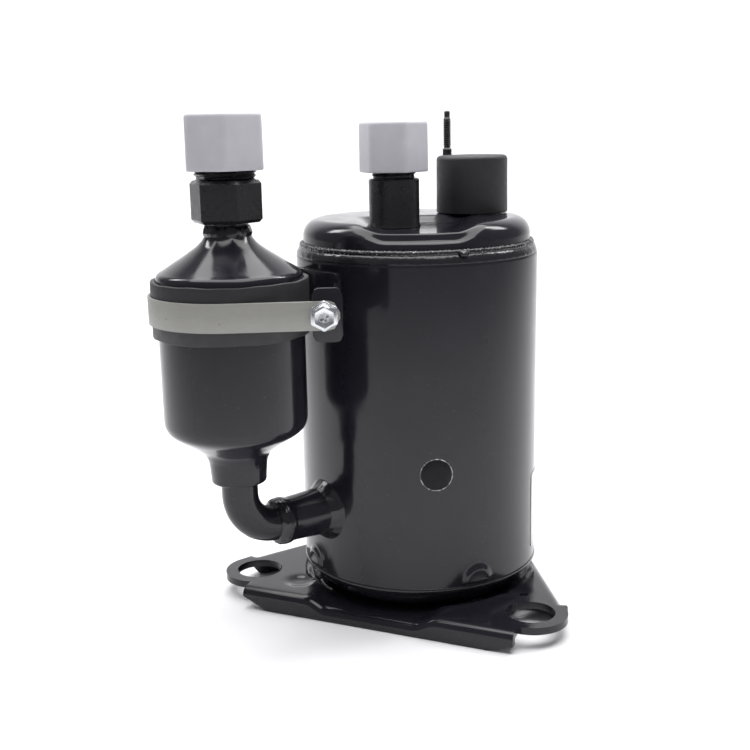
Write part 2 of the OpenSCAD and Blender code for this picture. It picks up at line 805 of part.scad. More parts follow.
module cylinder_block() {
    mid = cyl_z0 + cyl_h / 2;
    color(iron) difference() {
        translate([0, 0, cyl_z0]) ring(cyl_r, bore_r, cyl_h);
        rotate([0, 0, vane_dir]) translate([bore_r - 2, -vane_w / 2 - running, cyl_z0 - 1])
            cube([vane_tail - bore_r + 4, vane_w + 2 * running, cyl_h + 2]);
        radial(vane_tail, mid, vane_dir) cylinder(r = spring_bore_r, h = 12);
        radial(29.9, stub_z) cylinder(r = 6.45, h = 20);
        radial(bore_r - 2, stub_z) cylinder(r = 4.8, h = 20);
        for (a = bolt_steps) polar(bolt_circle_r, vane_dir + a) translate([0, 0, cyl_z0 - 1])
            cylinder(r = bolt_r + 0.2, h = cyl_h + 2);
        for (a = [75, 175, 225]) polar(cyl_r + 4, vane_dir + a) translate([0, 0, cyl_z0 - 1])
            cylinder(r = 8, h = cyl_h + 2);
    }
}

module main_bearing() {
    color(iron) difference() {
        union() {
            translate([0, 0, cyl_z1]) cylinder(r = cap_r, h = plate_h);
            translate([0, 0, main_z1]) ring(cap_r, cap_r - 4, 9);
            translate([0, 0, main_z1]) cylinder(r = 11, h = rotor_z0 - 3 - main_z1);
        }
        translate([0, 0, cyl_z1 - 1]) cylinder(r = journal_r + running, h = 60);
        polar(port_s, port_dir) translate([0, 0, cyl_z1 - 1]) cylinder(r = port_r, h = 12);
        for (a = bolt_steps) polar(bolt_circle_r, vane_dir + a) translate([0, 0, cyl_z1 - 1])
            cylinder(r = bolt_r + 0.2, h = plate_h + 2);
        for (a = [75, 125, 175, 225]) polar(40, vane_dir + a) translate([0, 0, cyl_z1 - 1])
            cylinder(r = 3, h = plate_h + 2);
    }
}

module sub_bearing() {
    color(iron) difference() {
        union() {
            translate([0, 0, sub_z0]) cylinder(r = 37, h = plate_h);
            translate([0, 0, sub_z0 - 8]) cylinder(r = 12, h = 8);
        }
        translate([0, 0, sub_z0 - 10]) cylinder(r = journal_r + running, h = 30);
        for (a = bolt_steps) polar(bolt_circle_r, vane_dir + a) translate([0, 0, sub_z0 - 1])
            cylinder(r = bolt_r + 0.2, h = plate_h + 2);
    }
}

module bearing_bolts() {
    color(zinc) for (a = bolt_steps) polar(bolt_circle_r, vane_dir + a) {
        translate([0, 0, sub_z0]) cylinder(r = bolt_r, h = main_z1 - sub_z0);
        translate([0, 0, main_z1]) hexagon(8, 3.5);
    }
}

// The valve group lies across the discharge port, along the port circle's tangent.
module at_port() {
    polar(port_s, port_dir) translate([0, 0, main_z1]) children();
}

module discharge_reed() {
    color(steel) at_port() translate([0, 0, free]) difference() {
        union() {
            cylinder(r = 4, h = 0.4);
            translate([-2.4, 0, 0]) cube([4.8, reed_l - 5, 0.4]);
        }
        translate([-4, reed_l - 4, -1]) cube([8, 4, 3]);
    }
}

module reed_retainer() {
    color(steel) at_port() difference() {
        union() {
            translate([-3, reed_l - 4, 0.02]) cube([6, 5.5, 2.4]);
            translate([-3, reed_l - 6, 2.2]) cube([6, 7.5, 1.2]);
            translate([-3, -3.5, 2.8]) cube([6, reed_l - 1.5, 1.2]);
        }
        translate([0, reed_l - 1, -1]) cylinder(r = 1.55, h = 6);
    }
}

module reed_rivet() {
    color(brass) at_port() translate([0, reed_l - 1, 0.02]) {
        cylinder(r = 1.5, h = 3.4);
        translate([0, 0, 3.4]) cylinder(r = 2.6, h = 1);
    }
}

module muffler() {
    color(steel) translate([0, 0, main_z1 + 0.02]) difference() {
        union() {
            ring(27.4, 26.4, 14);
            translate([0, 0, 13]) ring(27, 11.6, 1);
        }
        for (a = [60, 180]) polar(19, port_dir + a) translate([0, 0, 12])
            cylinder(r = 4, h = 3);
    }
}

shell_tube();
top_cap();
bottom_cap();
top_weld_bead();
bottom_weld_bead();
plug_welds();
base_plate();
base_welds();
accumulator_shell();
accumulator_standpipe();
accumulator_screen();
accumulator_bracket();
accumulator_pad();
accumulator_strap();
strap_screw();
strap_nut();
suction_fitting();
suction_cap();
suction_cap_seal();
discharge_fitting();
discharge_cap();
discharge_cap_seal();
suction_elbow();
elbow_braze_ring();
suction_stub();
stub_braze_ring();
suction_insert();
terminal_body();
terminal_glass();
terminal_pins();
terminal_cover();
terminal_stud();
rating_label();
motor_leads();
stator_core();
stator_windings();
stator_insulators();
rotor_core();
rotor_magnets();
rotor_end_plates();
balance_weights();
rotor_rivets();
crankshaft();
oil_paddle();
roller();
vane();
vane_spring();
cylinder_block();
main_bearing();
sub_bearing();
bearing_bolts();
discharge_reed();
reed_retainer();
reed_rivet();
muffler();
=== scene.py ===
"""Outer finish of a hermetic rotary refrigeration compressor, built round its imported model."""

import math

import bmesh
import bpy
from mathutils import Matrix, Vector, geometry, noise
from mathutils.kdtree import KDTree


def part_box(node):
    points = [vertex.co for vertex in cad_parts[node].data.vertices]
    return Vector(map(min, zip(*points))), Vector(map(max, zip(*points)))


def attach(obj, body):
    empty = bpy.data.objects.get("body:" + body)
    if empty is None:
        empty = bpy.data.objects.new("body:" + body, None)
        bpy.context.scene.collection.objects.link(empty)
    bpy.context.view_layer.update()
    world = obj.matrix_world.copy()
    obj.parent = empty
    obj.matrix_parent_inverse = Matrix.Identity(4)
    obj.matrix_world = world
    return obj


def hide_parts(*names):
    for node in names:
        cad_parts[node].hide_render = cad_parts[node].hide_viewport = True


bl_info = {
    "name": "Rotary Compressor",
    "version": (1, 0, 0),
    "blender": (4, 5, 0),
    "location": "View3D > Sidebar > Compressor",
    "description": "Builds the painted shell, accumulator, fittings and base of a rotary compressor",
    "category": "Add Mesh",
}

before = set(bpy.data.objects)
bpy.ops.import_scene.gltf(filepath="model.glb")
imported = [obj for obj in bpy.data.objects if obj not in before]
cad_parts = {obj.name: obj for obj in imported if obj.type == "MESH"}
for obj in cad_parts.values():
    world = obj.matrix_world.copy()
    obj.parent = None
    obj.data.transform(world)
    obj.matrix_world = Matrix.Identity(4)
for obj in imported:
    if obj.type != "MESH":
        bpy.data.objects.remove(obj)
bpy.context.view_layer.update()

MM = 0.001
TAU = 2 * math.pi
HOUSING = "housing"


# ---------------------------------------------------------------- places from the frame

def box_mm(node):
    """Lowest and highest corner of a node, in millimetres."""
    low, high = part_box(node)
    return Vector(low) / MM, Vector(high) / MM


def centre_mm(node):
    low, high = box_mm(node)
    return (low + high) / 2


def width_mm(node):
    low, high = box_mm(node)
    return high.x - low.x


def span_mm(node):
    """Lowest and highest height of a node."""
    low, high = box_mm(node)
    return low.z, high.z


def half_height_mm(node):
    low, high = span_mm(node)
    return (high - low) / 2


SHELL_LOW, SHELL_HIGH = box_mm("shell_tube")
SHELL_R = (SHELL_HIGH.x - SHELL_LOW.x) / 2
WALL = 3.0
CAP_R = SHELL_R - WALL - 0.05
CROWN_Z = span_mm("top_cap")[1]
ACC = centre_mm("accumulator_shell")
ACC_DIR = math.atan2(ACC.y, ACC.x)
ACC_OFFSET = math.hypot(ACC.x, ACC.y)
ACC_LOW, ACC_HIGH = span_mm("accumulator_shell")
ACC_R = width_mm("accumulator_shell") / 2
STUB_Z = centre_mm("suction_insert").z
STRAP_Z = centre_mm("accumulator_strap").z
EAR_TURN = math.radians(57)
SCREW_Y = 34.3
DISCHARGE = centre_mm("discharge_fitting")
TERMINAL = centre_mm("terminal_cover")
STUD = centre_mm("terminal_stud")
FLOOR_Z = span_mm("base_plate")[0]


def radial_frame(s, z, turn=0.0):
    """Place whose Z looks away from the shell's axis, towards the accumulator."""
    return (Matrix.Rotation(ACC_DIR + turn, 4, "Z") @ Matrix.Translation((s, 0, z))
            @ Matrix.Rotation(math.pi / 2, 4, "Y"))


def upright_frame(at, z=0.0, turn=0.0):
    """Place on a vertical axis through a point, turned about it."""
    return Matrix.Translation((at.x, at.y, z)) @ Matrix.Rotation(turn, 4, "Z")


# ---------------------------------------------------------------- mesh helpers

JOIN_GAP = 0.002 * MM
CREASE = 35.0


def placed(name, data):
    """A new object in the scene."""
    thing = bpy.data.objects.new(name, data)
    bpy.context.scene.collection.objects.link(thing)
    return thing


def gather(parts):
    """A working mesh of (points, faces) parts given in millimetres."""
    work = bmesh.new()
    for points, faces in parts:
        made = [work.verts.new(Vector(p) * MM) for p in points]
        for face in faces:
            corners = [made[i] for i in dict.fromkeys(face)]
            if len(corners) > 2:
                work.faces.new(corners)
    return work


def settle(work, crease):
    """Join equal corners, drop loose ones, turn every face outwards and shade."""
    bmesh.ops.remove_doubles(work, verts=work.verts, dist=JOIN_GAP)
    loose = [v for v in work.verts if not v.link_faces]
    bmesh.ops.delete(work, geom=loose, context="VERTS")
    bmesh.ops.recalc_face_normals(work, faces=work.faces)
    crease_edges(work, crease)


def write_mesh(work, mesh):
    """Store a working mesh and free it."""
    work.to_mesh(mesh)
    work.free()
    return mesh


def make_piece(name, parts, material, nodes=(), body=HOUSING, crease=CREASE):
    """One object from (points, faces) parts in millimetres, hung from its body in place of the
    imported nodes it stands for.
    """
    work = gather(parts)
    settle(work, crease)
    piece = placed(name, write_mesh(work, bpy.data.meshes.new(name)))
    piece.data.materials.append(material)
    return own(piece, nodes, body)


def crease_edges(work, crease):
    """Shade smooth, with sharp edges where faces meet at more than crease degrees."""
    limit = math.radians(crease)
    for face in work.faces:
        face.smooth = True
    for edge in work.edges:
        edge.smooth = len(edge.link_faces) == 2 and edge.calc_face_angle(0.0) < limit


def own(piece, nodes, body):
    """Tie a finished piece to its body and hide the nodes it stands for."""
    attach(piece, body)
    if nodes:
        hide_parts(*nodes)
    return piece


def bake(piece, crease=CREASE):
    """Turn a piece's modifiers into plain mesh and shade it."""
    graph = bpy.context.evaluated_depsgraph_get()
    mesh = bpy.data.meshes.new_from_object(piece.evaluated_get(graph), depsgraph=graph)
    piece.modifiers.clear()
    piece.data = mesh
    work = bmesh.new()
    work.from_mesh(mesh)
    settle(work, crease)
    write_mesh(work, mesh)
    return piece


def moved(part, place):
    """A part carried to a place."""
    points, faces = part
    return [place @ Vector(p) for p in points], faces


def polar(r, degrees):
    """The (x, y) point at a distance and an angle from the origin."""
    a = math.radians(degrees)
    return r * math.cos(a), r * math.sin(a)


def round_points(r, count):
    """Evenly spaced (x, y) points of a circle."""
    return [(r * math.cos(TAU * k / count), r * math.sin(TAU * k / count)) for k in range(count)]


def arc(cx, cz, r, start, end, steps):
    """Points along an arc, in degrees, both ends included."""
    round_part = (polar(r, start + (end - start) * i / steps) for i in range(steps + 1))
    return [(cx + x, cz + z) for x, z in round_part]


def skin(rings, closed=False, capped=True):
    """Faces between rings of equal length; ends are filled, or joined when closed."""
    count = len(rings[0])
    points = [p for ring in rings for p in ring]
    faces = []
    last = len(rings) if closed else len(rings) - 1
    for i in range(last):
        a, b = i * count, (i + 1) % len(rings) * count
        for k in range(count):
            j = (k + 1) % count
            faces.append((a + k, a + j, b + j, b + k))
    if capped and not closed:
        faces.append(tuple(range(count))[::-1])
        faces.append(tuple((len(rings) - 1) * count + k for k in range(count)))
    return points, faces


def lathe(profile, segments=128):
    """Revolve a closed outline of (radius, height) points about Z."""
    rings = [[(x, y, z) for x, y in round_points(r, segments)] for r, z in profile]
    return skin(rings, closed=True)


def smooth_line(points, steps=6):
    """A rounded line through points, by Catmull-Rom."""
    out = []
    for i in range(len(points) - 1):
        p0 = points[max(i - 1, 0)]
        p1, p2 = points[i], points[i + 1]
        p3 = points[min(i + 2, len(points) - 1)]
        for k in range(steps):
            t = k / steps
            out.append(tuple(
                0.5 * (2 * b + (c - a) * t + (2 * a - 5 * b + 4 * c - d) * t * t
                       + (3 * b - a - 3 * c + d) * t ** 3)
                for a, b, c, d in zip(p0, p1, p2, p3)))
    out.append(tuple(points[-1]))
    return out


def pipe_rings(path, r, sides=48):
    """The rings of a round pipe along a path in the XZ plane."""
    across = Vector((0, 1, 0))
    rings = []
    for i, p in enumerate(path):
        ahead = path[min(i + 1, len(path) - 1)]
        behind = path[max(i - 1, 0)]
        up = (ahead - behind).cross(across).normalized()
        rings.append([p + across * u + up * v for u, v in round_points(r, sides)])
    return rings


def hexagon_ring(af, corner_r, z, inset=0.0, limit=None, per_side=9):
    """Points of a hexagon with rounded corners, held inside a circle of radius limit."""
    flat = af / 2 - inset
    corner_r = max(corner_r - inset, 0.05)
    far = (flat - corner_r) / math.cos(math.radians(30))
    ring = []
    for middle in range(0, 360, 60):
        cx, cy = polar(far, middle)
        for x, y in arc(cx, cy, corner_r, middle - 30, middle + 30, per_side - 1):
            reach = math.hypot(x, y)
            if limit and reach > limit:
                x, y = x * limit / reach, y * limit / reach
            ring.append(Vector((x, y, z)))
    return ring


def circle_ring(r, z, like):
    """A circle whose points stand in the same directions as those of another ring."""
    ring = []
    for p in like:
        reach = math.hypot(p.x, p.y)
        ring.append(Vector((p.x / reach * r, p.y / reach * r, z)))
    return ring


def ease(x, low, high):
    """Smooth step from 0 at low to 1 at high."""
    t = min(max((x - low) / (high - low), 0.0), 1.0)
    return t * t * (3 - 2 * t)


# ---------------------------------------------------------------- materials

def linear(code):
    """sRGB hex to linear colour."""
    out = []
    for i in (1, 3, 5):
        c = int(code[i:i + 2], 16) / 255
        out.append(c / 12.92 if c <= 0.04045 else ((c + 0.055) / 1.055) ** 2.4)
    return (*out, 1.0)


def add(tree, kind, inputs=None, **settings):
    """Add a node with its settings; an input is a value or the socket that feeds it."""
    node = tree.nodes.new(kind)
    for name, value in settings.items():
        setattr(node, name, value)
    for key, value in (inputs or {}).items():
        if isinstance(value, bpy.types.NodeSocket):
            tree.links.new(value, node.inputs[key])
        else:
            node.inputs[key].default_value = value
    return node


def per_mm(size):
    """Texture scale whose features are about size millimetres across."""
    return 1 / (size * MM)


MIX_FACTOR, MIX_A, MIX_B, MIX_OUT = 0, 6, 7, 2


def mixed(tree, factor, a, b):
    """A colour between two others."""
    return add(tree, "ShaderNodeMix", {MIX_FACTOR: factor, MIX_A: a, MIX_B: b},
               data_type="RGBA").outputs[MIX_OUT]


def speckle(tree, where, size, detail, **inputs):
    """Noise whose features are about size millimetres across."""
    return add(tree, "ShaderNodeTexNoise", {"Vector": where, "Scale": per_mm(size),
                                            "Detail": detail, **inputs}).outputs["Fac"]


def raised(tree, height, depth, strength=1.0, **inputs):
    """Surface relief of a height pattern, depth millimetres deep."""
    return add(tree, "ShaderNodeBump", {"Height": height, "Distance": depth * MM,
                                        "Strength": strength, **inputs}).outputs[0]


def maths(tree, operation, *values):
    """The result of a maths node."""
    return add(tree, "ShaderNodeMath", dict(enumerate(values)), operation=operation).outputs[0]


def new_material(name):
    """A material with an empty node tree, its tree and its object coordinates."""
    material = bpy.data.materials.new(name)
    material.use_nodes = True
    tree = material.node_tree
    tree.nodes.clear()
    return material, tree, add(tree, "ShaderNodeTexCoord").outputs["Object"]


def surfaced(tree, **inputs):
    """Close a material's tree with a principled surface."""
    keys = {key.replace("_", " "): value for key, value in inputs.items()}
    surface = add(tree, "ShaderNodeBsdfPrincipled", keys)
    add(tree, "ShaderNodeOutputMaterial", {"Surface": surface.outputs[0]})


def finish(name, low, high, patch, rough, grain, depth, metallic=0.0, ior=1.5, stretch=(1, 1, 1),
           spots=None, **shader):
    """A surface with uneven colour and sheen and a fine relief.

    patch is the size of the colour patches, grain that of the relief and depth its height,
    all in millimetres. spots is (colour, size, share) for specks, stains or painted glints.
    """
    material, tree, where = new_material(name)
    place = add(tree, "ShaderNodeMapping", {"Vector": where, "Scale": stretch}).outputs[0]
    patches = speckle(tree, place, patch, 3.0, Roughness=0.55)
    colour = mixed(tree, patches, linear(low), linear(high))
    if spots:
        code, size, share = spots
        cells = speckle(tree, where, size, 2.0)
        ramp = add(tree, "ShaderNodeMapRange", {"Value": cells, "From Min": 1 - share,
                                                "From Max": 1.04 - share})
        colour = mixed(tree, ramp.outputs[0], colour, linear(code))
    sheen = speckle(tree, place, patch * 0.4, 4.0)
    rougher = add(tree, "ShaderNodeMapRange", {"Value": sheen, "From Min": 0.3, "From Max": 0.7,
                                               "To Min": rough[0], "To Max": rough[1]})
    relief = raised(tree, speckle(tree, place, grain, 2.0), depth)
    surfaced(tree, Base_Color=colour, Roughness=rougher.outputs[0], Metallic=metallic, IOR=ior,
             Normal=relief, **shader)
    return material


def banded(material, direction, pitch, dark, strength, depth):
    """Lay even bands over a finish, such as laminations, wire turns or turning marks."""
    tree = material.node_tree
    surface = next(n for n in tree.nodes if n.type == "BSDF_PRINCIPLED")
    where = next(n for n in tree.nodes if n.type == "TEX_COORD")
    plain = surface.inputs["Base Color"].links[0].from_socket
    relief = surface.inputs["Normal"].links[0].from_socket
    wave = add(tree, "ShaderNodeTexWave", {"Vector": where.outputs["Object"],
                                           "Scale": per_mm(pitch) / 20, "Distortion": 0.4,
                                           "Detail": 1.0}, bands_direction=direction)
    share = maths(tree, "MULTIPLY", wave.outputs["Fac"], strength)
    colour = mixed(tree, share, plain, linear(dark))
    ridge = raised(tree, wave.outputs["Fac"], depth, 0.6, Normal=relief)
    tree.links.new(colour, surface.inputs["Base Color"])
    tree.links.new(ridge, surface.inputs["Normal"])
    return material


FINISHES = {}


def make_finishes(settings):
    """Every finish on the compressor, each named for what the real surface is, or for the highlight
    painted on it.
    """
    made = FINISHES
    # Baked enamel over drawn steel: deep black, wet gloss with a faint orange peel.
    made["enamel"] = finish("baked_black_enamel", settings.enamel_low, settings.enamel_high, 22,
                            (0.10, 0.19), 1.7, 0.010, ior=1.44, spots=("#4a484d", 0.7, 0.27))
    # Enamel sprayed over a rolled weld: the paint wets the ripples, and its light grey specks are
    # painted glints.
    made["weld"] = finish("enamel_over_weld", "#141417", "#222126", 4, (0.14, 0.36), 0.9, 0.09,
                          spots=("#8d8b90", 1.0, 0.36))
    # Enamel over brazing metal: the lumps are round and smooth, so they keep a wet gloss.
    made["braze"] = finish("enamel_over_braze", "#141417", "#222126", 5, (0.12, 0.26), 1.4, 0.05)
    # Thin enamel over a plug weld: dull and dark, since the burnt metal under it is rough.
    made["plug"] = finish("thin_enamel_over_plug_weld", "#0f0f12", "#1b1a1f", 3, (0.42, 0.58),
                          0.8, 0.05, ior=1.3)
    # A plug's raised rim, tinted light grey with bright specks as a painted highlight.
    made["scale"] = finish("plug_rim_painted_highlight", "#3a393d", "#77757a", 1.5, (0.3, 0.5), 0.5, 0.05,
                           spots=("#b5b3b8", 1.1, 0.5))
    # Satin black paint on machined steel fittings: softer highlights than the shell.
    made["fitting"] = finish("satin_black_paint", "#101012", "#1d1d20", 6, (0.24, 0.36), 0.5,
                             0.006)
    # Rolled galvanised strip: dull grey, faint rolling grain and a few grease stains.
    made["strip"] = finish("galvanised_strip", "#94948f", "#9d9d98", 5, (0.46, 0.58), 0.35,
                           0.004, metallic=0.3, stretch=(1, 1, 3), spots=("#63625d", 2.6, 0.30))
    # Bright zinc plate on cold-headed steel: near mirror, slightly blue, small dents.
    made["zinc"] = finish("bright_zinc_plate", "#c3c7ca", "#dadcdc", 2, (0.14, 0.30), 0.6, 0.012,
                          metallic=1.0)
    # Natural polyethylene, moulded: milky, soft inside glow, lilac cast, waxy sheen.
    made["cap"] = finish("natural_polyethylene", settings.cap_low, settings.cap_high, 7,
                         (0.38, 0.52), 0.9, 0.006, ior=1.51,
                         Subsurface_Weight=0.35, Subsurface_Scale=2.5 * MM,
                         Subsurface_Radius=(1.0, 0.96, 1.0))
    # Moulded nitrile rubber: charcoal black with a dry, even sheen and fine texture.
    made["rubber"] = finish("moulded_black_rubber", "#1c1c1e", "#262628", 9, (0.45, 0.58), 0.35,
                            0.012, ior=1.52)
    # Drawn copper tube: warm, slightly tarnished.
    made["copper"] = finish("drawn_copper_tube", "#b0623f", "#c87e58", 6, (0.25, 0.42), 0.5,
                            0.003, metallic=1.0)
    # Stamped brass: yellow, with fine press marks.
    made["brass"] = finish("stamped_brass", "#b08d3f", "#c9a658", 5, (0.25, 0.4), 0.4, 0.003,
                           metallic=1.0)
    # Fused sealing glass round the pins: dark green-blue and glossy.
    made["glass"] = finish("fused_sealing_glass", "#1f4650", "#2d5f66", 1.5, (0.05, 0.12), 0.6,
                           0.003, ior=1.52, Coat_Weight=0.5)
    # Blank polyester label film: white, smooth and slightly glossy.
    made["label"] = finish("blank_polyester_label", "#dededb", "#ebebe8", 12, (0.28, 0.4), 1.2,
                           0.003)
    # Braided sleeve over the motor leads: dark red thread in a tight pattern.
    made["sleeve"] = banded(finish("braided_lead_sleeve", "#5b211d", "#7c332b", 1, (0.6, 0.8),
                                   0.3, 0.05), "DIAGONAL", 0.9, "#2f0f0d", 0.6, 0.12)
    # Enamelled magnet wire: glossy copper brown in parallel turns.
    made["wire"] = banded(finish("enamelled_magnet_wire", "#8a4020", "#b05a2c", 3, (0.2, 0.35),
                                 0.6, 0.02), "Z", 0.9, "#3a1609", 0.75, 0.25)
    # Moulded polyester end insulator: cream and matt.
    made["insulator"] = finish("moulded_polyester", "#cfc8b2", "#ddd7c4", 8, (0.45, 0.6), 0.5,
                               0.006)
    # Nickel-plated sintered magnet: soft grey mirror.
    made["magnet"] = finish("nickel_plated_magnet", "#9c9aa0", "#b4b3b6", 4, (0.2, 0.35), 0.5,
                            0.003, metallic=1.0)
    # Stacked electrical steel: blue-grey sheets with visible edges.
    made["laminations"] = banded(finish("stacked_electrical_steel", "#5e6269", "#7b7f86", 6,
                                        (0.35, 0.5), 0.4, 0.004, metallic=0.9), "Z", 0.7,
                                 "#202226", 0.7, 0.06)
    # Machined grey iron: dull, with graphite pores.
    made["iron"] = finish("machined_grey_iron", "#4d4e50", "#68696b", 3, (0.4, 0.6), 0.4, 0.02,
                          metallic=0.8, spots=("#1e1e1f", 0.35, 0.34))
    # Hardened and ground steel: bright with fine grinding lines.
    made["ground"] = banded(finish("ground_steel", "#a4a6a8", "#bcbdbe", 5, (0.18, 0.3), 0.3,
                                   0.002, metallic=1.0), "Z", 0.25, "#77797b", 0.35, 0.004)


CAD_FINISHES = {
    "copper": ["accumulator_standpipe", "suction_insert"],
    "brass": ["accumulator_screen", "terminal_pins", "rotor_end_plates", "balance_weights",
              "reed_rivet"],
    "glass": ["terminal_glass"],
    "rubber": ["suction_cap_seal", "discharge_cap_seal"],
    "sleeve": ["motor_leads"],
    "wire": ["stator_windings"],
    "insulator": ["stator_insulators"],
    "magnet": ["rotor_magnets"],
    "laminations": ["stator_core", "rotor_core"],
    "iron": ["cylinder_block", "main_bearing", "sub_bearing"],
    "ground": ["terminal_body", "crankshaft", "roller", "vane", "vane_spring", "oil_paddle",
               "discharge_reed", "reed_retainer", "muffler", "rotor_rivets"],
    "zinc": ["bearing_bolts", "strap_nut"],
}


def finish_cad_nodes():
    """Give the nodes that keep their own mesh their real finish."""
    for key, nodes in CAD_FINISHES.items():
        for node in nodes:
            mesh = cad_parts[node].data
            mesh.materials.clear()
            mesh.materials.append(FINISHES[key])


# ---------------------------------------------------------------- geometry node trees

def new_tree(name, sizes):
    """An empty geometry tree with named float inputs and one geometry output."""
    tree = bpy.data.node_groups.new(name, "GeometryNodeTree")
    tree.interface.new_socket("Geometry", in_out="OUTPUT", socket_type="NodeSocketGeometry")
    for label, value in sizes.items():
        kind = "NodeSocketInt" if isinstance(value, int) else "NodeSocketFloat"
        socket = tree.interface.new_socket(label, in_out="INPUT", socket_type=kind)
        socket.default_value = value
    return tree, add(tree, "NodeGroupInput")


def close_tree(tree, shape, material):
    """Realize Instances and Set Material, then the output."""
    real = add(tree, "GeometryNodeRealizeInstances", {0: shape})
    dressed = add(tree, "GeometryNodeSetMaterial", {"Geometry": real.outputs[0],
                                                    "Material": material})
    add(tree, "NodeGroupOutput", {0: dressed.outputs[0]})


def thread_tree(material):
    """A V ridge wound along a right-hand helix, thinning out at both ends."""
    tree, given = new_tree("thread_ridge", {"Core Radius": 0.009, "Ridge": 0.0008,
                                            "Pitch": 0.0015, "Turns": 4.0, "Steps": 48})
    height = maths(tree, "MULTIPLY", given.outputs["Pitch"], given.outputs["Turns"])
    helix = add(tree, "GeometryNodeCurveSpiral", {
        "Resolution": given.outputs["Steps"], "Rotations": given.outputs["Turns"],
        "Start Radius": given.outputs["Core Radius"], "End Radius": given.outputs["Core Radius"],
        "Height": height, "Reverse": True})
    along = add(tree, "GeometryNodeSplineParameter")
    fade = add(tree, "ShaderNodeFloatCurve", {"Value": along.outputs["Factor"]})
    shape = fade.mapping.curves[0]
    shape.points[0].location = (0, 0.1)
    shape.points[1].location = (1, 0.1)
    for x in (0.06, 0.94):
        shape.points.new(x, 1)
    fade.mapping.update()
    upright = add(tree, "GeometryNodeSetCurveNormal", {"Curve": helix.outputs[0]}, mode="Z_UP")
    section = add(tree, "GeometryNodeCurvePrimitiveCircle", {"Resolution": 4,
                                                             "Radius": given.outputs["Ridge"]})
    ridge = add(tree, "GeometryNodeCurveToMesh", {
        "Curve": upright.outputs[0], "Profile Curve": section.outputs["Curve"],
        "Scale": fade.outputs[0], "Fill Caps": True})
    close_tree(tree, ridge.outputs[0], material)
    return tree


RIPPLE_LAG = 250.0  # how far a ripple trails at the bead's top and foot


def bead_tree(material):
    """A weld bead laid round a circle: overlapping ripples and small spatter."""
    tree, given = new_tree("weld_bead", {"Path Radius": 0.049, "Bead": 0.002, "Ripple": 0.0013,
                                         "Swell": 0.0003, "Roughness": 0.0004, "Seed": 3.0})
    size = given.outputs
    path, section = (
        add(tree, "GeometryNodeCurvePrimitiveCircle", {"Resolution": count, "Radius": radius})
        for count, radius in ((900, size["Path Radius"]), (16, size["Bead"])))
    ring = add(tree, "GeometryNodeCurveToMesh", {"Curve": path.outputs["Curve"],
                                                 "Profile Curve": section.outputs["Curve"]})
    at = add(tree, "GeometryNodeInputPosition").outputs[0]
    parts = add(tree, "ShaderNodeSeparateXYZ", {0: at}).outputs
    angle = maths(tree, "ARCTAN2", parts["Y"], parts["X"])
    run = maths(tree, "MULTIPLY", angle, size["Path Radius"])
    slant = maths(tree, "MULTIPLY", parts["Z"], parts["Z"])
    lag = maths(tree, "MULTIPLY_ADD", slant, RIPPLE_LAG, run)
    turn = maths(tree, "MULTIPLY", maths(tree, "DIVIDE", lag, size["Ripple"]), TAU)
    swell = maths(tree, "MULTIPLY", maths(tree, "SINE", turn), size["Swell"])
    grit = add(tree, "ShaderNodeTexNoise", {"Vector": at, "W": size["Seed"],
                                            "Scale": per_mm(2.4), "Detail": 4.0,
                                            "Roughness": 0.7}, noise_dimensions="4D")
    even = maths(tree, "SUBTRACT", grit.outputs["Fac"], 0.5)
    rise = maths(tree, "MULTIPLY_ADD", even, size["Roughness"], swell)
    facing = add(tree, "GeometryNodeInputNormal")
    push = add(tree, "ShaderNodeVectorMath", {0: facing.outputs[0], "Scale": rise},
               operation="SCALE")
    shaped = add(tree, "GeometryNodeSetPosition", {"Geometry": ring.outputs[0],
                                                   "Offset": push.outputs[0]})
    close_tree(tree, shaped.outputs[0], material)
    return tree


def grown(name, tree, sizes, place):
    """Run a geometry tree with the given sizes and carry the plain mesh to its place."""
    piece = placed(name, bpy.data.meshes.new(name))
    modifier = piece.modifiers.new(name, "NODES")
    modifier.node_group = tree
    for item in tree.interface.items_tree:
        if item.in_out == "INPUT" and item.name in sizes:
            modifier[item.identifier] = sizes[item.name]
    bake(piece)
    spot = place.copy()
    spot.translation = place.translation * MM
    piece.data.transform(spot)
    return piece


def as_part(piece):
    """Take a helper piece's mesh as (points, faces) in millimetres and delete the piece."""
    mesh = piece.data
    points = [v.co / MM for v in mesh.vertices]
    faces = [tuple(p.vertices) for p in mesh.polygons]
    bpy.data.objects.remove(piece)
    bpy.data.meshes.remove(mesh)
    return points, faces


def thread(core_r, ridge, pitch, turns, place):
    """A thread ridge, ready to be joined to the rod it stands on."""
    tree = bpy.data.node_groups.get("thread_ridge") or thread_tree(FINISHES["fitting"])
    return as_part(grown("thread", tree, {"Core Radius": core_r * MM, "Ridge": ridge * MM,
                                          "Pitch": pitch * MM, "Turns": float(turns)}, place))


def bead(path_r, width, ripple, swell, rough, seed, place):
    """A weld bead ring, ready to be joined to its neighbours."""
    tree = bpy.data.node_groups.get("weld_bead") or bead_tree(FINISHES["weld"])
    return as_part(grown("bead", tree, {
        "Path Radius": path_r * MM, "Bead": width * MM, "Ripple": ripple * MM,
        "Swell": swell * MM, "Roughness": rough * MM, "Seed": float(seed)}, place))


def carve(piece, cutters):
    """Cut helper shapes out of a piece, then delete them."""
    for index, part in enumerate(cutters):
        work = gather([part])
        bmesh.ops.recalc_face_normals(work, faces=work.faces)
        cutter = placed(f"cutter_{index}", write_mesh(work, bpy.data.meshes.new("cutter")))
        modifier = piece.modifiers.new("cut", "BOOLEAN")
        modifier.operation = "DIFFERENCE"
        modifier.object = cutter
        modifier.solver = "EXACT"
        bake(piece)
        bpy.data.objects.remove(cutter)


def rod(r, z0, z1):
    """A plain round bar along Z."""
    return skin([[(x, y, z) for x, y in round_points(r, 48)] for z in (z0, z1)])


# ---------------------------------------------------------------- shell and end caps

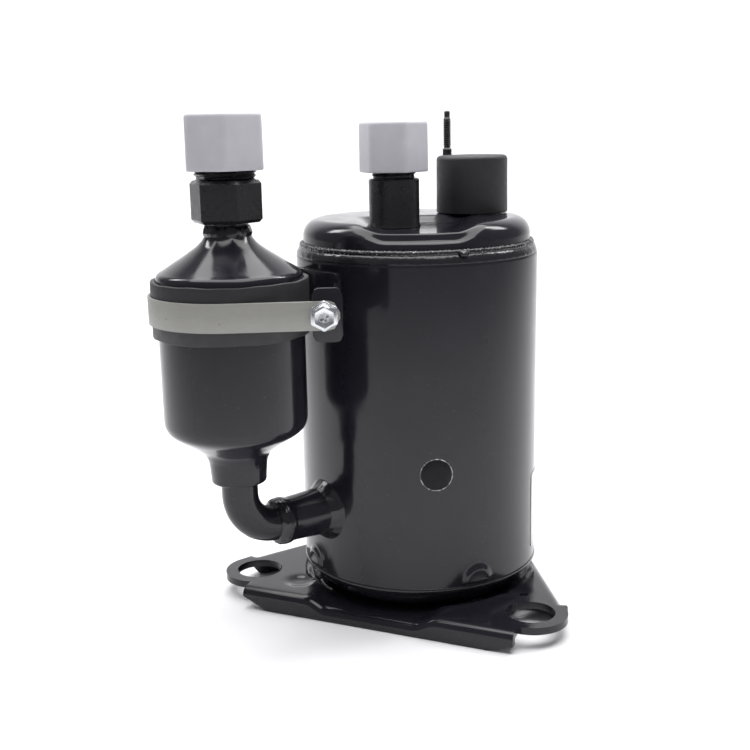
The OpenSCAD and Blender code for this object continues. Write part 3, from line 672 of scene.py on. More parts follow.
BOSSES = (-40.0, -129.5)
BOSS_R, BOSS_Z = 7.4, 12.0
STUB_HOLE_R, TERMINAL_HOLE_R, DISCHARGE_HOLE_R = 9.65, 9.5, 6.05
PLUG_Z = centre_mm("plug_welds").z
PLUGS = (-60.0, 60.0, 180.0)
SHELF_DIR = ACC_DIR + math.radians(54)


def around(a, a0):
    """Distance along the shell's skin between two angles, in millimetres."""
    return SHELL_R * math.radians((a - a0 + 180) % 360 - 180)


def wall_r(a, z, height):
    """Outer radius of the shell, with two round bosses pushed out at its foot."""
    r = SHELL_R
    for a0 in BOSSES:
        d = math.hypot(around(a, a0), z - BOSS_Z)
        r += height * (1 - ease(d, 0.6 * BOSS_R, BOSS_R)) * ease(z, SHELL_LOW.z, 12.0)
    return r


def samples(low, high, coarse, fine, near):
    """Values from low to high, spaced by fine inside the (low, high) ranges of near."""
    out, x = [], low
    while x < high - fine / 2:
        out.append(x)
        x += fine if any(a <= x <= b for a, b in near) else coarse
    out.append(high)
    return out


def shell_part(height):
    """The case's tube, with finer steps where the bosses stand."""
    angles = samples(-180, 179, 1.5, 0.5, [(a - 10, a + 10) for a in BOSSES])
    heights = samples(SHELL_LOW.z, SHELL_HIGH.z, 3.5, 0.5, [(SHELL_LOW.z, 20.5)])
    rings = []

    def level(z, out, inset=0.0):
        ring = []
        for a in angles:
            r = wall_r(a, z, height) if out else SHELL_R - WALL
            ring.append((*polar(r - inset, a), z))
        rings.append(ring)

    low, high = SHELL_LOW.z, SHELL_HIGH.z
    level(low, True, 0.5)
    for z in heights[1:-1]:
        level(z, True)
    level(high - 0.5, True)
    level(high - 0.12, True, 0.12)
    level(high, True, 0.5)
    level(high, False)
    level(low, False)
    return skin(rings, closed=True)


def on_wall(levels, a0):
    """Rings round a plug weld, each given by its radius and its height over the shell."""
    rings = []
    for r, h in levels:
        ring = []
        for y, z in round_points(r, 72):
            wave = 0.10 * noise.noise(Vector((y * 0.5, z * 0.5, a0)))
            reach = math.sqrt(SHELL_R ** 2 - y * y) + h + (wave if r > 5 else 0.4 * wave)
            ring.append((reach, y, PLUG_Z + z))
        rings.append(ring)
    return rings


def plug_part(a0):
    """A plug weld's low dome."""
    rings = on_wall(((6.35, -0.3), (6.2, 0.04), (5.95, 0.16), (5.6, 0.34), (4.8, 0.56),
                     (3.6, 0.72), (2.2, 0.80), (1.0, 0.84), (0.0, 0.85)), a0)
    back = [[(SHELL_R - 1.35, y * 0.99, z) for _, y, z in rings[0]]]
    return moved(skin(back + rings), Matrix.Rotation(math.radians(a0), 4, "Z"))


def rim_part(a0):
    """The thin raised ring round a plug weld, which carries a painted highlight."""
    rings = on_wall(((6.2, -0.15), (6.22, 0.12), (6.36, 0.24), (6.5, 0.22), (6.62, 0.08),
                     (6.6, -0.15)), a0)
    return moved(skin(rings, closed=True), Matrix.Rotation(math.radians(a0), 4, "Z"))


def shelf(x, y):
    """How fully the top cap is pressed flat at a place, from 0 to 1."""
    along = x * math.cos(SHELF_DIR) + y * math.sin(SHELF_DIR)
    across = y * math.cos(SHELF_DIR) - x * math.sin(SHELF_DIR)
    return ease(along, -2.5, 6) * ease(across, -26, -14) * (1 - ease(across, 13, 25))


def top_cap_part(drop):
    """The drawn top cap: a round shoulder that turns into a bevel along the pressed flat."""
    fillet, crown_rise = 7.0, 0.35
    steps, segments = 36, 288
    edge = CAP_R - fillet
    low, foot = SHELL_HIGH.z - 10, SHELL_HIGH.z + 2.5
    bevel = bends([(edge, CROWN_Z - drop), (44.4, CROWN_Z - drop), (45.8, CROWN_Z - 6.2),
                   (47.2, CROWN_Z - 7.0), (CAP_R, CROWN_Z - 8.4)], 0.7, 0.4)
    shoulder = arc(edge, CROWN_Z - fillet, fillet, 90, 0, len(bevel) - 1)
    skirt = [(CAP_R, foot), (CAP_R, low)]
    plain = [(edge * i / steps, CROWN_Z) for i in range(steps)] + shoulder + skirt
    pressed = [(edge * i / steps, CROWN_Z - drop) for i in range(steps)] + bevel + skirt
    rings = []
    for (r0, z0), (r1, z1) in zip(plain, pressed):
        ring = []
        for k in range(segments):
            a = TAU * k / segments
            share = shelf(r0 * math.cos(a), r0 * math.sin(a))
            r = r0 + (r1 - r0) * share
            z = z0 + (z1 - z0) * share - crown_rise * (r / CAP_R) ** 2
            ring.append((r * math.cos(a), r * math.sin(a), z))
        rings.append(ring)
    return skin(rings, capped=False)


def thicken(piece, depth, round_edges=0.0):
    """Give a sheet its thickness inwards, and round its cut edges."""
    solid = piece.modifiers.new("thickness", "SOLIDIFY")
    solid.thickness = depth * MM
    solid.offset = -1
    solid.use_even_offset = True
    if round_edges:
        edges = piece.modifiers.new("edges", "BEVEL")
        edges.width = round_edges * MM
        edges.segments = 2
        edges.limit_method = "ANGLE"
        edges.angle_limit = math.radians(50)
    bake(piece)


def point_up(piece):
    """Turn an open sheet's normals so that its middle faces up."""
    work = bmesh.new()
    work.from_mesh(piece.data)
    bmesh.ops.recalc_face_normals(work, faces=work.faces)
    if sum(f.normal.z * f.calc_area() for f in work.faces) < 0:
        bmesh.ops.reverse_faces(work, faces=work.faces)
    work.to_mesh(piece.data)
    work.free()


def lump(at, size, seed):
    """A rounded drop of weld metal."""
    rings = []
    for i in range(1, 12):
        t = math.pi * i / 12
        ring = []
        for k in range(24):
            a = TAU * k / 24
            p = Vector((math.sin(t) * math.cos(a), math.sin(t) * math.sin(a), math.cos(t)))
            p *= 1 + 0.25 * noise.noise(p * 1.7 + Vector((seed, 0, 0)))
            ring.append(at + Vector((p.x * size.x, p.y * size.y, p.z * size.z)))
        rings.append(ring)
    return skin(rings)


def fillet_ring(profile, rough, seed, segments=720):
    """A ring of weld metal whose skin wanders from its profile."""
    rings = []
    for r, z in profile:
        ring = []
        for k in range(segments):
            a = TAU * k / segments
            p = Vector((r * math.cos(a), r * math.sin(a), z))
            wander = rough * noise.noise(p * 0.45 + Vector((0, 0, seed)))
            wander += 0.4 * rough * noise.noise(p * 1.6 + Vector((0, 0, seed)))
            ring.append(((r + wander) * math.cos(a), (r + wander) * math.sin(a), z + wander))
        rings.append(ring)
    return skin(rings, closed=True)


# ---------------------------------------------------------------- base plate

PLATE_T = 3.0
HOLE_CIRCLE = 71.3
LUG_R = 14.8
HOLE_R = 9.8
FOLD_R = 3.6
LUGS = (-150.0, -30.0, 90.0)
FRONT_Y = 57.0
FRONT_X = (-58.0, 61.0)
SIDE_D = HOLE_CIRCLE / 2 + LUG_R
LUG_X = HOLE_CIRCLE * math.cos(math.radians(30))
SINK = 3.5
SINK_EDGE = (46.8, 51.2)  # the sunk middle's rim, from its foot to its top
DIP_LEFT, DIP_RIGHT = (-29, -19.5), (19, 30)  # the ramps of the dip in the front
DIMPLES = ((-39.0, -41.0), (49.0, -17.0))
HEM_GAP = 0.26  # between the floor and a fold's lowest edge
DRAIN = polar(57.5, -20)
DRAIN_R = 2.2
WELL_R = 30.0  # of the hole under the case
NET_PITCH = 1.25


def plate_height(x, y):
    """Height of the plate's top skin before its edges are folded down."""
    sunk = 1 - ease(math.hypot(x, y), *SINK_EDGE)
    dip = ease(x, *DIP_LEFT) * (1 - ease(x, *DIP_RIGHT)) if y < -40 else 0.0
    for cx, cy in DIMPLES:
        dip = max(dip, 0.3 - 0.3 * ease(math.hypot(x - cx, y - cy), 2.5, 7.5))
    return PLATE_T - SINK * max(sunk, dip)


def fold(p):
    """Fold the front and the two back edges of the flat plate down."""
    p = Vector((p[0], p[1], plate_height(p[0], max(p[1], -FRONT_Y))))
    side = (SIDE_D, 5 - LUG_X, LUG_X - 5)
    for turn, (far, low, high) in ((0, (FRONT_Y, *FRONT_X)), (120, side), (240, side)):
        spin = Matrix.Rotation(math.radians(-turn), 3, "Z")
        q = spin @ p
        over = -q.y - (far - FOLD_R)
        if over <= 0 or not low - 2 <= q.x <= high + 2:
            continue
        share = 1.0
        if turn:
            share = ease(q.x, low - 1, low + 7) * (1 - ease(q.x, high - 7, high + 1))
        full = share * math.pi / 2
        if full <= 0:
            continue
        bend = min(over / FOLD_R, full)
        rest = max(over - FOLD_R * full, 0.0)
        q.y = -(far - FOLD_R + FOLD_R * math.sin(bend) + rest * math.cos(full))
        q.z -= FOLD_R * (1 - math.cos(bend)) + rest * math.sin(full)
        p = spin.transposed() @ q
    return p


def circle_loop(x, y, r, pitch=1.1):
    """Points of a circle about (x, y), about pitch apart."""
    return [(x + u, y + v) for u, v in round_points(r, max(16, round(TAU * r / pitch)))]


def stepped(points, pitch=1.2):
    """Extra points along the sides of a closed outline."""
    out = []
    for i, p in enumerate(points):
        q = points[(i + 1) % len(points)]
        steps = max(1, round(math.dist(p, q) / pitch))
        out += [(p[0] + (q[0] - p[0]) * k / steps, p[1] + (q[1] - p[1]) * k / steps)
                for k in range(steps)]
    return out


def turned(points, degrees):
    """Flat points turned about the origin."""
    c, s = math.cos(math.radians(degrees)), math.sin(math.radians(degrees))
    return [(c * x - s * y, s * x + c * y) for x, y in points]


def front_outline(flat, hem):
    """The plate's front before folding: its edge reaches the hem, with a chamfer at each end."""
    start, end = FRONT_X
    long, left_cut, right_cut = 11, 5, 3
    edge = []
    for i in range(101):
        x = start + (end - start) * i / 100
        reach = FRONT_Y + flat + plate_height(x, -FRONT_Y) - hem
        left, right = (min(d / long, 1) for d in (x - start, end - x))
        edge.append((x, left_cut * (1 - left) + right_cut * (1 - right) - reach))
    return [(end, -20.0), (start, -20.0)] + edge


def side_outline(flat, hem):
    """One of the plate's two back edges before folding."""
    drop = flat + PLATE_T - hem
    left = [(-LUG_X, 0.0), (-LUG_X, -SIDE_D), (5 - LUG_X, -SIDE_D - 0.6),
            (10 - LUG_X, -SIDE_D - drop)]
    return [(LUG_X, 0.0)] + left + [(-x, y) for x, y in left[:0:-1]]


def plate_part():
    """The whole plate as a fine flat net, cut to its outline and then folded."""
    flat = FOLD_R * math.pi / 2 - 2 * FOLD_R
    hem = FLOOR_Z + HEM_GAP
    side = side_outline(flat, hem)
    centres = [polar(HOLE_CIRCLE, a) for a in LUGS]
    solid = [stepped(front_outline(flat, hem)), stepped(turned(side, 120)),
             stepped(turned(side, 240))]
    solid += [circle_loop(x, y, LUG_R) for x, y in centres]
    holes = [circle_loop(x, y, HOLE_R, 0.8) for x, y in centres]
    holes += [circle_loop(*DRAIN, DRAIN_R, 0.7), circle_loop(0, 0, WELL_R)]
    loops = solid + holes
    points = [p for loop in loops for p in loop]
    tree = KDTree(len(points))
    for i, p in enumerate(points):
        tree.insert((*p, 0), i)
    tree.balance()
    for j in range(-90, 100):
        for i in range(-90, 91):
            x, y = (i + 0.5 * (j % 2)) * NET_PITCH, j * NET_PITCH * math.sqrt(3) / 2
            if tree.find(Vector((x, y, 0)))[2] > 0.6 * NET_PITCH:
                points.append((x, y))
    faces, start = [], 0
    for loop in loops:
        faces.append(list(range(start, start + len(loop))))
        start += len(loop)
    got = geometry.delaunay_2d_cdt([Vector(p) for p in points], [], faces, 0, 1e-5)
    kept = [tuple(face) for face, origins in zip(got[2], got[5])
            if origins and max(origins) < len(solid)]
    return [fold(p) for p in got[0]], kept


def tack_weld(a, low):
    """A short weld between the plate and the case, centred on an angle."""
    middle_r, half_turn, steps = 45.4, 9, 30
    rings = []
    for i in range(steps + 1):
        t = math.radians(a + half_turn * (2 * i / steps - 1))
        size = 1.15 * math.sqrt(max(1 - (2 * i / steps - 1) ** 2, 0.03))
        size *= 1 + 0.12 * math.sin(i * 1.9)
        ring = []
        for u, v in round_points(1, 14):
            r = middle_r + 1.3 * size * u
            ring.append((r * math.cos(t), r * math.sin(t), low + 0.2 + 0.9 * size * max(v, -0.2)))
        rings.append(ring)
    return skin(rings)


# ---------------------------------------------------------------- strips

def strip(path, thickness, half_height, edge=0.22):
    """A flat strip on edge along a path seen from above, as a closed solid in millimetres."""
    rings = []
    lengths = [0.0]
    for a, b in zip(path, path[1:]):
        lengths.append(lengths[-1] + math.dist(a, b))
    for i, p in enumerate(path):
        a, b = path[max(i - 1, 0)], path[min(i + 1, len(path) - 1)]
        along = Vector((b[0] - a[0], b[1] - a[1])).normalized()
        side = Vector((-along.y, along.x))
        h = half_height(lengths[i], lengths[-1])
        t = thickness / 2
        corner = [(t, -h + edge), (t, h - edge), (t - edge * 0.3, h - edge * 0.3),
                  (t - edge, h), (-t + edge, h), (-t + edge * 0.3, h - edge * 0.3),
                  (-t, h - edge), (-t, -h + edge), (-t + edge * 0.3, -h + edge * 0.3),
                  (-t + edge, -h), (t - edge, -h), (t - edge * 0.3, -h + edge * 0.3)]
        rings.append([(p[0] + side.x * u, p[1] + side.y * u, v) for u, v in corner])
    return skin(rings)


def rounded_end(half, radius, both=False):
    """Half height of a strip whose far end, or both ends, have rounded corners."""
    def height(at, total):
        left = total - at
        if both:
            left = min(left, at)
        if left >= radius:
            return half
        return half - radius + math.sqrt(max(radius ** 2 - (radius - left) ** 2, 0.0))
    return height


def bends(points, radius, pitch=1.0):
    """A path with rounded corners and points no further apart than pitch."""
    out = [Vector(points[0])]
    for i in range(1, len(points) - 1):
        before, at, after = (Vector(points[j]) for j in (i - 1, i, i + 1))
        u, v = (before - at).normalized(), (after - at).normalized()
        cut = min(radius, 0.45 * (before - at).length, 0.45 * (after - at).length)
        for k in range(9):
            t = k / 8
            p = at + u * cut * (1 - t) ** 2 + v * cut * t ** 2
            out.append(p)
    out.append(Vector(points[-1]))
    fine = [out[0]]
    for a, b in zip(out, out[1:]):
        steps = max(1, math.ceil((b - a).length / pitch))
        fine += [a.lerp(b, k / steps) for k in range(1, steps + 1)]
    return [tuple(p) for p in fine]


# ---------------------------------------------------------------- clamp and caps

LEVEL = Matrix.Rotation(ACC_DIR, 4, "Z") @ Matrix.Translation((0, 0, STRAP_Z))
ROUND_ACC = LEVEL @ Matrix.Translation((ACC_OFFSET, 0, 0))
EAR = ROUND_ACC @ Matrix.Rotation(EAR_TURN, 4, "Z")
SCREW_AT = EAR @ Matrix.Translation((0, SCREW_Y, 0)) @ Matrix.Rotation(math.pi / 2, 4, "Y")
SADDLE_R = 51.6
PAD_R = 28.65
STRAP_R = 30.3
SCREW_HOLE_R = 2.8


def build_bracket():
    """The cradle welded to the case, the ear that takes the screw and the arm between."""
    half = half_height_mm("accumulator_bracket")
    tab = rounded_end(half, 2.6, True)
    saddle = [polar(SADDLE_R, a) for a in (16, 8, 0, -8, -16)]
    bracket = make_piece("bracket", [
        moved(strip(bends(saddle + [(69, -24.2), (69, -43)], 2.5), 2.0, tab), LEVEL),
        moved(strip(bends([(28.8, 30.2), (28.8, 41)], 1), 2.0, tab, 0.35), EAR),
        moved(strip(bends([(-12.7, 40), (28.3, 40)], 1), 2.0, rounded_end(6, 0.1)), EAR)],
        FINISHES["enamel"], ["accumulator_bracket"])
    slot = skin([[(s, n, z) for n, z in ((-31.1, -5.75), (-29.5, -5.75), (-29.5, 5.75),
                                         (-31.1, 5.75))] for s in (66, 72)])
    carve(bracket, [moved(slot, LEVEL), moved(rod(SCREW_HOLE_R, 26, 33), SCREW_AT)])


def build_pad():
    """The rubber strip round the accumulator, its edges a little wavy."""
    half = half_height_mm("accumulator_pad")

    def wavy(at, total):
        return half + 0.12 * math.sin(at * 0.21) + 0.08 * math.sin(at * 0.53)

    path = [polar(PAD_R, a) for a in range(-164, 165, 2)]
    make_piece("pad", [moved(strip(path, 1.9, wavy, 0.5), ROUND_ACC)], FINISHES["rubber"],
               ["accumulator_pad"])


def build_strap():
    """The steel strap: its hooked tail, the turn round the pad and the screwed end."""
    c, s = math.cos(EAR_TURN), math.sin(EAR_TURN)
    tail = bends([(-24.5, -33.6), (-24.5, -STRAP_R), (-18, -STRAP_R), (-9, -STRAP_R)], 1.2)
    wrap = [polar(STRAP_R, a) for a in range(-90, 56, 2)]
    straight = [(c * STRAP_R - s * y, s * STRAP_R + c * y) for y in range(0, 41, 2)]
    end = rounded_end(half_height_mm("accumulator_strap"), 4.2)
    strap = make_piece("strap", [moved(strip(tail + wrap + straight, 1.0, end, 0.15), ROUND_ACC)],
                       FINISHES["strip"], ["accumulator_strap"])
    carve(strap, [moved(rod(SCREW_HOLE_R, 29, 33), SCREW_AT)])


def build_screw():
    """The hexagon screw with its washer face, sunk top and cross recess."""
    seat = STRAP_R + 0.55
    like = hexagon_ring(9, 0.35, 0)
    washer = [(2.5, -9), (2.5, 0), (5.0, 0), (5.5, 0.25), (5.6, 0.65), (5.4, 1.0), (4.9, 1.15)]
    sides = [(1.3, 0.0, 4.8), (3.9, 0.0, 4.8), (4.4, 0.15, 4.3)]
    dish = [(3.7, 4.7), (3.2, 4.4), (2.4, 4.1)]
    levels = [circle_ring(r, seat + z, like) for r, z in washer]
    levels += [hexagon_ring(9, 0.35, seat + z, inset, limit) for z, inset, limit in sides]
    levels += [circle_ring(r, seat + z, like) for r, z in dish]
    screw = make_piece("screw", [moved(skin(levels), SCREW_AT)], FINISHES["zinc"],
                       ["strap_screw"], crease=28)
    cross = [skin([[(e * reach * c + q * d, e * reach * d - q * c, z)
                    for e, q in ((-1, -w), (1, -w), (1, w), (-1, w))]
                   for z, reach, w in ((seat + 2.6, 0.9, 0.35), (seat + 5, 2.1, 0.5))])
             for c, d in ((1, 0), (0, 1))]
    carve(screw, [moved(part, SCREW_AT @ Matrix.Rotation(0.5, 4, "Z")) for part in cross])


def build_nut():
    """The hexagon nut behind the ear."""
    like = hexagon_ring(8.6, 0.35, 0)
    rings = [hexagon_ring(8.6, 0.35, z, limit=limit)
             for z, limit in ((23.6, 4.5), (24.2, None), (27.2, None), (27.8, 4.5))]
    rings += [circle_ring(2.55, z, like) for z in (27.8, 23.6)]
    make_piece("nut", [moved(skin(rings, closed=True), SCREW_AT)], FINISHES["zinc"],
               ["strap_nut"], crease=28)


def cap_part(af, bore_r, height, roof):
    """A moulded hexagonal screw cap: rounded corners, soft top edge and a smooth bore."""
    corner_r, per_side = 2.8, 15
    like = hexagon_ring(af, corner_r, 0, per_side=per_side)
    sides = [(0.0, 0.5), (0.15, 0.2), (0.5, 0.03), (1.2, 0.0), (height - 1.6, 0.12),
             (height - 0.75, 0.28), (height - 0.25, 0.75), (height, 1.5)]
    top = [(af / 2 - 3.2, height), (af / 2 - 3.6, height - 0.12), (1.0, height - 0.12)]
    bore = [(1.0, height - roof), (bore_r - 0.4, height - roof), (bore_r, height - roof - 0.4),
            (bore_r, 0.5), (bore_r + 0.4, 0.0)]
    rings = [hexagon_ring(af, corner_r, z, inset, af / 2 + 1.75 - inset, per_side)
             for z, inset in sides]
    rings += [circle_ring(r, z, like) for r, z in top]
    points, faces = skin(rings, capped=False)
    inside, inner_faces = skin([circle_ring(r, z, like) for r, z in bore], capped=False)
    count, shift = len(like), len(points)
    faces += [tuple(i + shift for i in face) for face in inner_faces]
    faces.append(tuple(shift - count + k for k in range(count)))
    faces.append(tuple(shift + k for k in range(count)))
    points += inside
    last = len(points) - count
    faces += [(last + k, last + (k + 1) % count, (k + 1) % count, k) for k in range(count)]
    return points, faces


# ---------------------------------------------------------------- settings

class CompressorSettings(bpy.types.PropertyGroup):
    enamel_low: bpy.props.StringProperty(
        name="Enamel, dark", description="Darker tone of the baked enamel, as sRGB hex",
        default="#17171c")
    enamel_high: bpy.props.StringProperty(
        name="Enamel, light", description="Lighter tone of the baked enamel, as sRGB hex",
        default="#201f26")
    cap_low: bpy.props.StringProperty(
        name="Screw cap, dark", description="Darker tone of the screw caps, as sRGB hex",
        default="#b0afb4")
    cap_high: bpy.props.StringProperty(
        name="Screw cap, light", description="Lighter tone of the screw caps, as sRGB hex",
        default="#c2c1c6")
    boss_height: bpy.props.FloatProperty(
        name="Boss height", description="Height of the two bosses at the shell's foot, in mm",
        default=1.0, min=0.5, max=2.5)
    shelf_drop: bpy.props.FloatProperty(
        name="Shelf drop", description="Depth of the flat pressed into the top cap, in mm",
        default=3.2, min=2.0, max=4.0)
    weld_roughness: bpy.props.FloatProperty(
        name="Weld roughness", description="Unevenness of the closing welds, in mm",
        default=0.9, min=0.2, max=1.5)
    thread_pitch: bpy.props.FloatProperty(
        name="Thread pitch", description="Pitch of the fittings' threads, in mm",
        default=1.5, min=1.0, max=2.0)
    key_power: bpy.props.FloatProperty(
        name="Softbox power", description="Power of the overhead softbox",
        default=14.0, min=1.0, max=60.0, unit="POWER")


def settings():
    return bpy.context.scene.compressor


# ---------------------------------------------------------------- operators

class COMPRESSOR_OT_finishes(bpy.types.Operator):
    """Make every finish and give the inner parts theirs"""
    bl_idname = "compressor.finishes"
    bl_label = "Finishes"

    def execute(self, context):
        make_finishes(settings())
        finish_cad_nodes()
        return {"FINISHED"}


class COMPRESSOR_OT_shell(bpy.types.Operator):
    """Build the shell, its end caps and the welds that close it"""
    bl_idname = "compressor.shell"
    bl_label = "Shell"

    def execute(self, context):
        have = settings()
        enamel, weld = FINISHES["enamel"], FINISHES["weld"]
        shell = make_piece("shell", [shell_part(have.boss_height)], enamel, ["shell_tube"])
        carve(shell, [moved(rod(STUB_HOLE_R, 0, 14), radial_frame(SHELL_R - 7, STUB_Z))])
        make_piece("plugs", [plug_part(a) for a in PLUGS], FINISHES["plug"], ["plug_welds"])
        # The rims carry a painted highlight: light grey with bright specks.
        make_piece("plug_rims", [rim_part(a) for a in PLUGS], FINISHES["scale"])
        cap = make_piece("upper_cap", [top_cap_part(have.shelf_drop)], enamel, ["top_cap"])
        point_up(cap)
        thicken(cap, WALL)
        carve(cap, [moved(rod(r, CROWN_Z - 14, CROWN_Z + 5), upright_frame(at))
                    for r, at in ((TERMINAL_HOLE_R, TERMINAL), (DISCHARGE_HOLE_R, DISCHARGE))])
        low = span_mm("bottom_cap")[0]
        bend, rim = 9, low + 22
        bowl = arc(CAP_R - bend, low + bend, bend, 0, -90, 12)
        inner = arc(CAP_R - bend, low + bend, bend - WALL, -90, 0, 12)
        outline = ([(CAP_R, rim)] + bowl + [(0, low), (0, low + WALL)] + inner
                   + [(CAP_R - WALL, rim)])
        make_piece("lower_cap", [lathe(outline, 180)], enamel, ["bottom_cap"])
        top = SHELL_HIGH.z
        rough = have.weld_roughness
        slope = [(r, top + z) for r, z in (
            (CAP_R - 0.3, -0.1), (SHELL_R - 0.35, -0.1), (SHELL_R - 0.25, 0.5),
            (SHELL_R - 0.5, 1.7), (SHELL_R - 1.0, 2.8), (CAP_R + 1.2, 3.7), (CAP_R - 0.3, 4.2))]
        at = Vector((*polar(49.0, -46.5), top + 3.8))
        make_piece("upper_weld", [
            bead(CAP_R + 0.3, 1.3, 1.9, 0.06, 1.05 * rough, 5,
                 Matrix.Translation((0, 0, top + 4.1))),
            lump(at, Vector((2.2, 2.2, 1.3)), 3)], weld, ["top_weld_bead"])
        make_piece("upper_weld_toe", [fillet_ring(slope, 0.12 * rough, 4)], FINISHES["braze"])
        foot = SHELL_LOW.z
        make_piece("lower_weld", [
            bead(SHELL_R - 0.9, 1.25, 2.4, 0.04, 0.2 * rough, 8,
                 Matrix.Translation((0, 0, foot + 0.3)))], FINISHES["braze"],
            ["bottom_weld_bead"])
        return {"FINISHED"}


class COMPRESSOR_OT_base(bpy.types.Operator):
    """Build the pressed base plate and its welds"""
    bl_idname = "compressor.base"
    bl_label = "Base plate"

    def execute(self, context):
        plate = make_piece("plate", [plate_part()], FINISHES["enamel"], ["base_plate"])
        point_up(plate)
        thicken(plate, PLATE_T, 0.45)
        low = span_mm("base_welds")[0]
        make_piece("plate_welds", [tack_weld(a, low) for a in (-40, 50, 140, 230)],
                   FINISHES["weld"], ["base_welds"])
        return {"FINISHED"}


class COMPRESSOR_OT_accumulator(bpy.types.Operator):
    """Build the accumulator's spun body"""
    bl_idname = "compressor.accumulator"
    bl_label = "Accumulator"

    def execute(self, context):
        low, top = ACC_LOW, ACC_HIGH
        foot = [(9.6, 0), (10.3, 0.25), (10.7, 0.9), (10.85, 3), (11.3, 7.6), (12.0, 10),
                (13.9, 12.9), (18.6, 16.3), (23.5, 19.4), (26.2, 21.7), (27.35, 24.2), (ACC_R, 27)]
        head = [(ACC_R, -20.6), (27.4, -18.9), (26.6, -17.7), (24.8, -16.6), (20.1, -13.6),
                (15.0, -10.3), (11.3, -7.6), (9.1, -5.0), (8.1, -2.4), (7.8, 0)]
        outer = smooth_line([(r, low + z) for r, z in foot])
        outer += [(ACC_R, z) for z in (95, 105, 115, 125)]
        outer += smooth_line([(r, top + z) for r, z in head])
        wall, bore_r, plug_z = 1.6, 7.2, low + 6
        inner = [(max(r - wall, 5.0), min(z, top - 0.01)) for r, z in reversed(outer)
                 if z > plug_z]
        inner += [(bore_r, plug_z), (bore_r, low)]
        collar = [(r, top + z) for r, z in ((bore_r, -4.8), (8.9, -4.4), (9.3, -3.2), (9.0, -2.0),
                                            (8.3, -0.7), (bore_r, -0.4))]
        make_piece("accumulator", [moved(lathe(outer + inner), upright_frame(ACC)),
                                   moved(fillet_ring(collar, 0.5, 6, 144), upright_frame(ACC))],
                   FINISHES["enamel"], ["accumulator_shell"])
        return {"FINISHED"}


class COMPRESSOR_OT_clamp(bpy.types.Operator):
    """Build the bracket, rubber pad, strap, screw and nut that hold the accumulator"""
    bl_idname = "compressor.clamp"
    bl_label = "Clamp"

    def execute(self, context):
        build_bracket()
        build_pad()
        build_strap()
        build_screw()
        build_nut()
        return {"FINISHED"}


class COMPRESSOR_OT_fittings(bpy.types.Operator):
    """Build the threaded suction and discharge fittings"""
    bl_idname = "compressor.fittings"
    bl_label = "Fittings"

    def execute(self, context):
        pitch = settings().thread_pitch
        low, high = span_mm("suction_fitting")
        core_r, ridge = 10.85, 0.75
        shoulder = low + 15.5
        like = hexagon_ring(24, 0.5, 0)
        sides = [(low, 0.3, 12.3), (low + 1.3, 0.0, 13.45), (shoulder - 1.2, 0.0, 13.45),
                 (shoulder, 0.3, 12.4)]
        neck = [(11.4, shoulder + 0.05), (core_r, shoulder + 0.6), (core_r, high - 0.8),
                (10.1, high), (6.6, high), (6.0, high - 0.6), (6.0, low)]
        body = [circle_ring(10.6, low, like)]
        body += [hexagon_ring(24, 0.5, z, inset, limit) for z, inset, limit in sides]
        body += [circle_ring(r, z, like) for r, z in neck]
        at = upright_frame(ACC, 0, ACC_DIR + math.radians(18))
        make_piece("suction_union", [
            moved(skin(body, closed=True), at),
            thread(core_r, ridge, pitch, 11.2, upright_frame(ACC, shoulder + 0.9, 4.4))],
            FINISHES["fitting"], ["suction_fitting"], crease=28)
        low, high = span_mm("discharge_fitting")
        core_r, seat, shoulder = 8.25, low + 8, 172.1
        body = [(6.0, low), (6.0, seat + 0.1), (10.6, seat + 0.1), (10.5, seat + 0.5),
                (10.2, seat + 1.3), (10.2, shoulder - 0.5), (9.7, shoulder), (8.6, shoulder + 0.05),
                (core_r, shoulder + 0.6), (core_r, high - 0.7), (7.6, high), (5.0, high),
                (4.5, high - 0.5), (4.5, low)]
        make_piece("discharge_union", [
            moved(lathe(body, 96), upright_frame(DISCHARGE)),
            thread(core_r, ridge, pitch, 10.4, upright_frame(DISCHARGE, shoulder + 0.9, 1.0))],
            FINISHES["fitting"], ["discharge_fitting"], crease=28)
        return {"FINISHED"}


class COMPRESSOR_OT_caps(bpy.types.Operator):
    """Build the two moulded screw caps and their seals"""
    bl_idname = "compressor.caps"
    bl_label = "Screw caps"

    def execute(self, context):
        for name, at, turn, af, bore in (
                ("suction", ACC, ACC_DIR + math.radians(2), 28, 11.95),
                ("discharge", DISCHARGE, math.radians(-98 + 51), 25, 9.3)):
            low, high = span_mm(f"{name}_cap")
            make_piece(f"{name}_screw_cap", [
                moved(cap_part(af, bore, high - low, 3.8), upright_frame(at, low, turn))],
                FINISHES["cap"], [f"{name}_cap"], f"{name}_cap")
            low, high = span_mm(f"{name}_cap_seal")
            r = width_mm(f"{name}_cap_seal") / 2
            disc = [(0, low), (r - 0.3, low), (r, low + 0.3), (r, high - 0.3), (r - 0.3, high),
                    (0, high)]
            make_piece(f"{name}_gasket", [moved(lathe(disc, 64), upright_frame(at))],
                       FINISHES["rubber"], [f"{name}_cap_seal"],
                       f"{name}_seal")
        return {"FINISHED"}


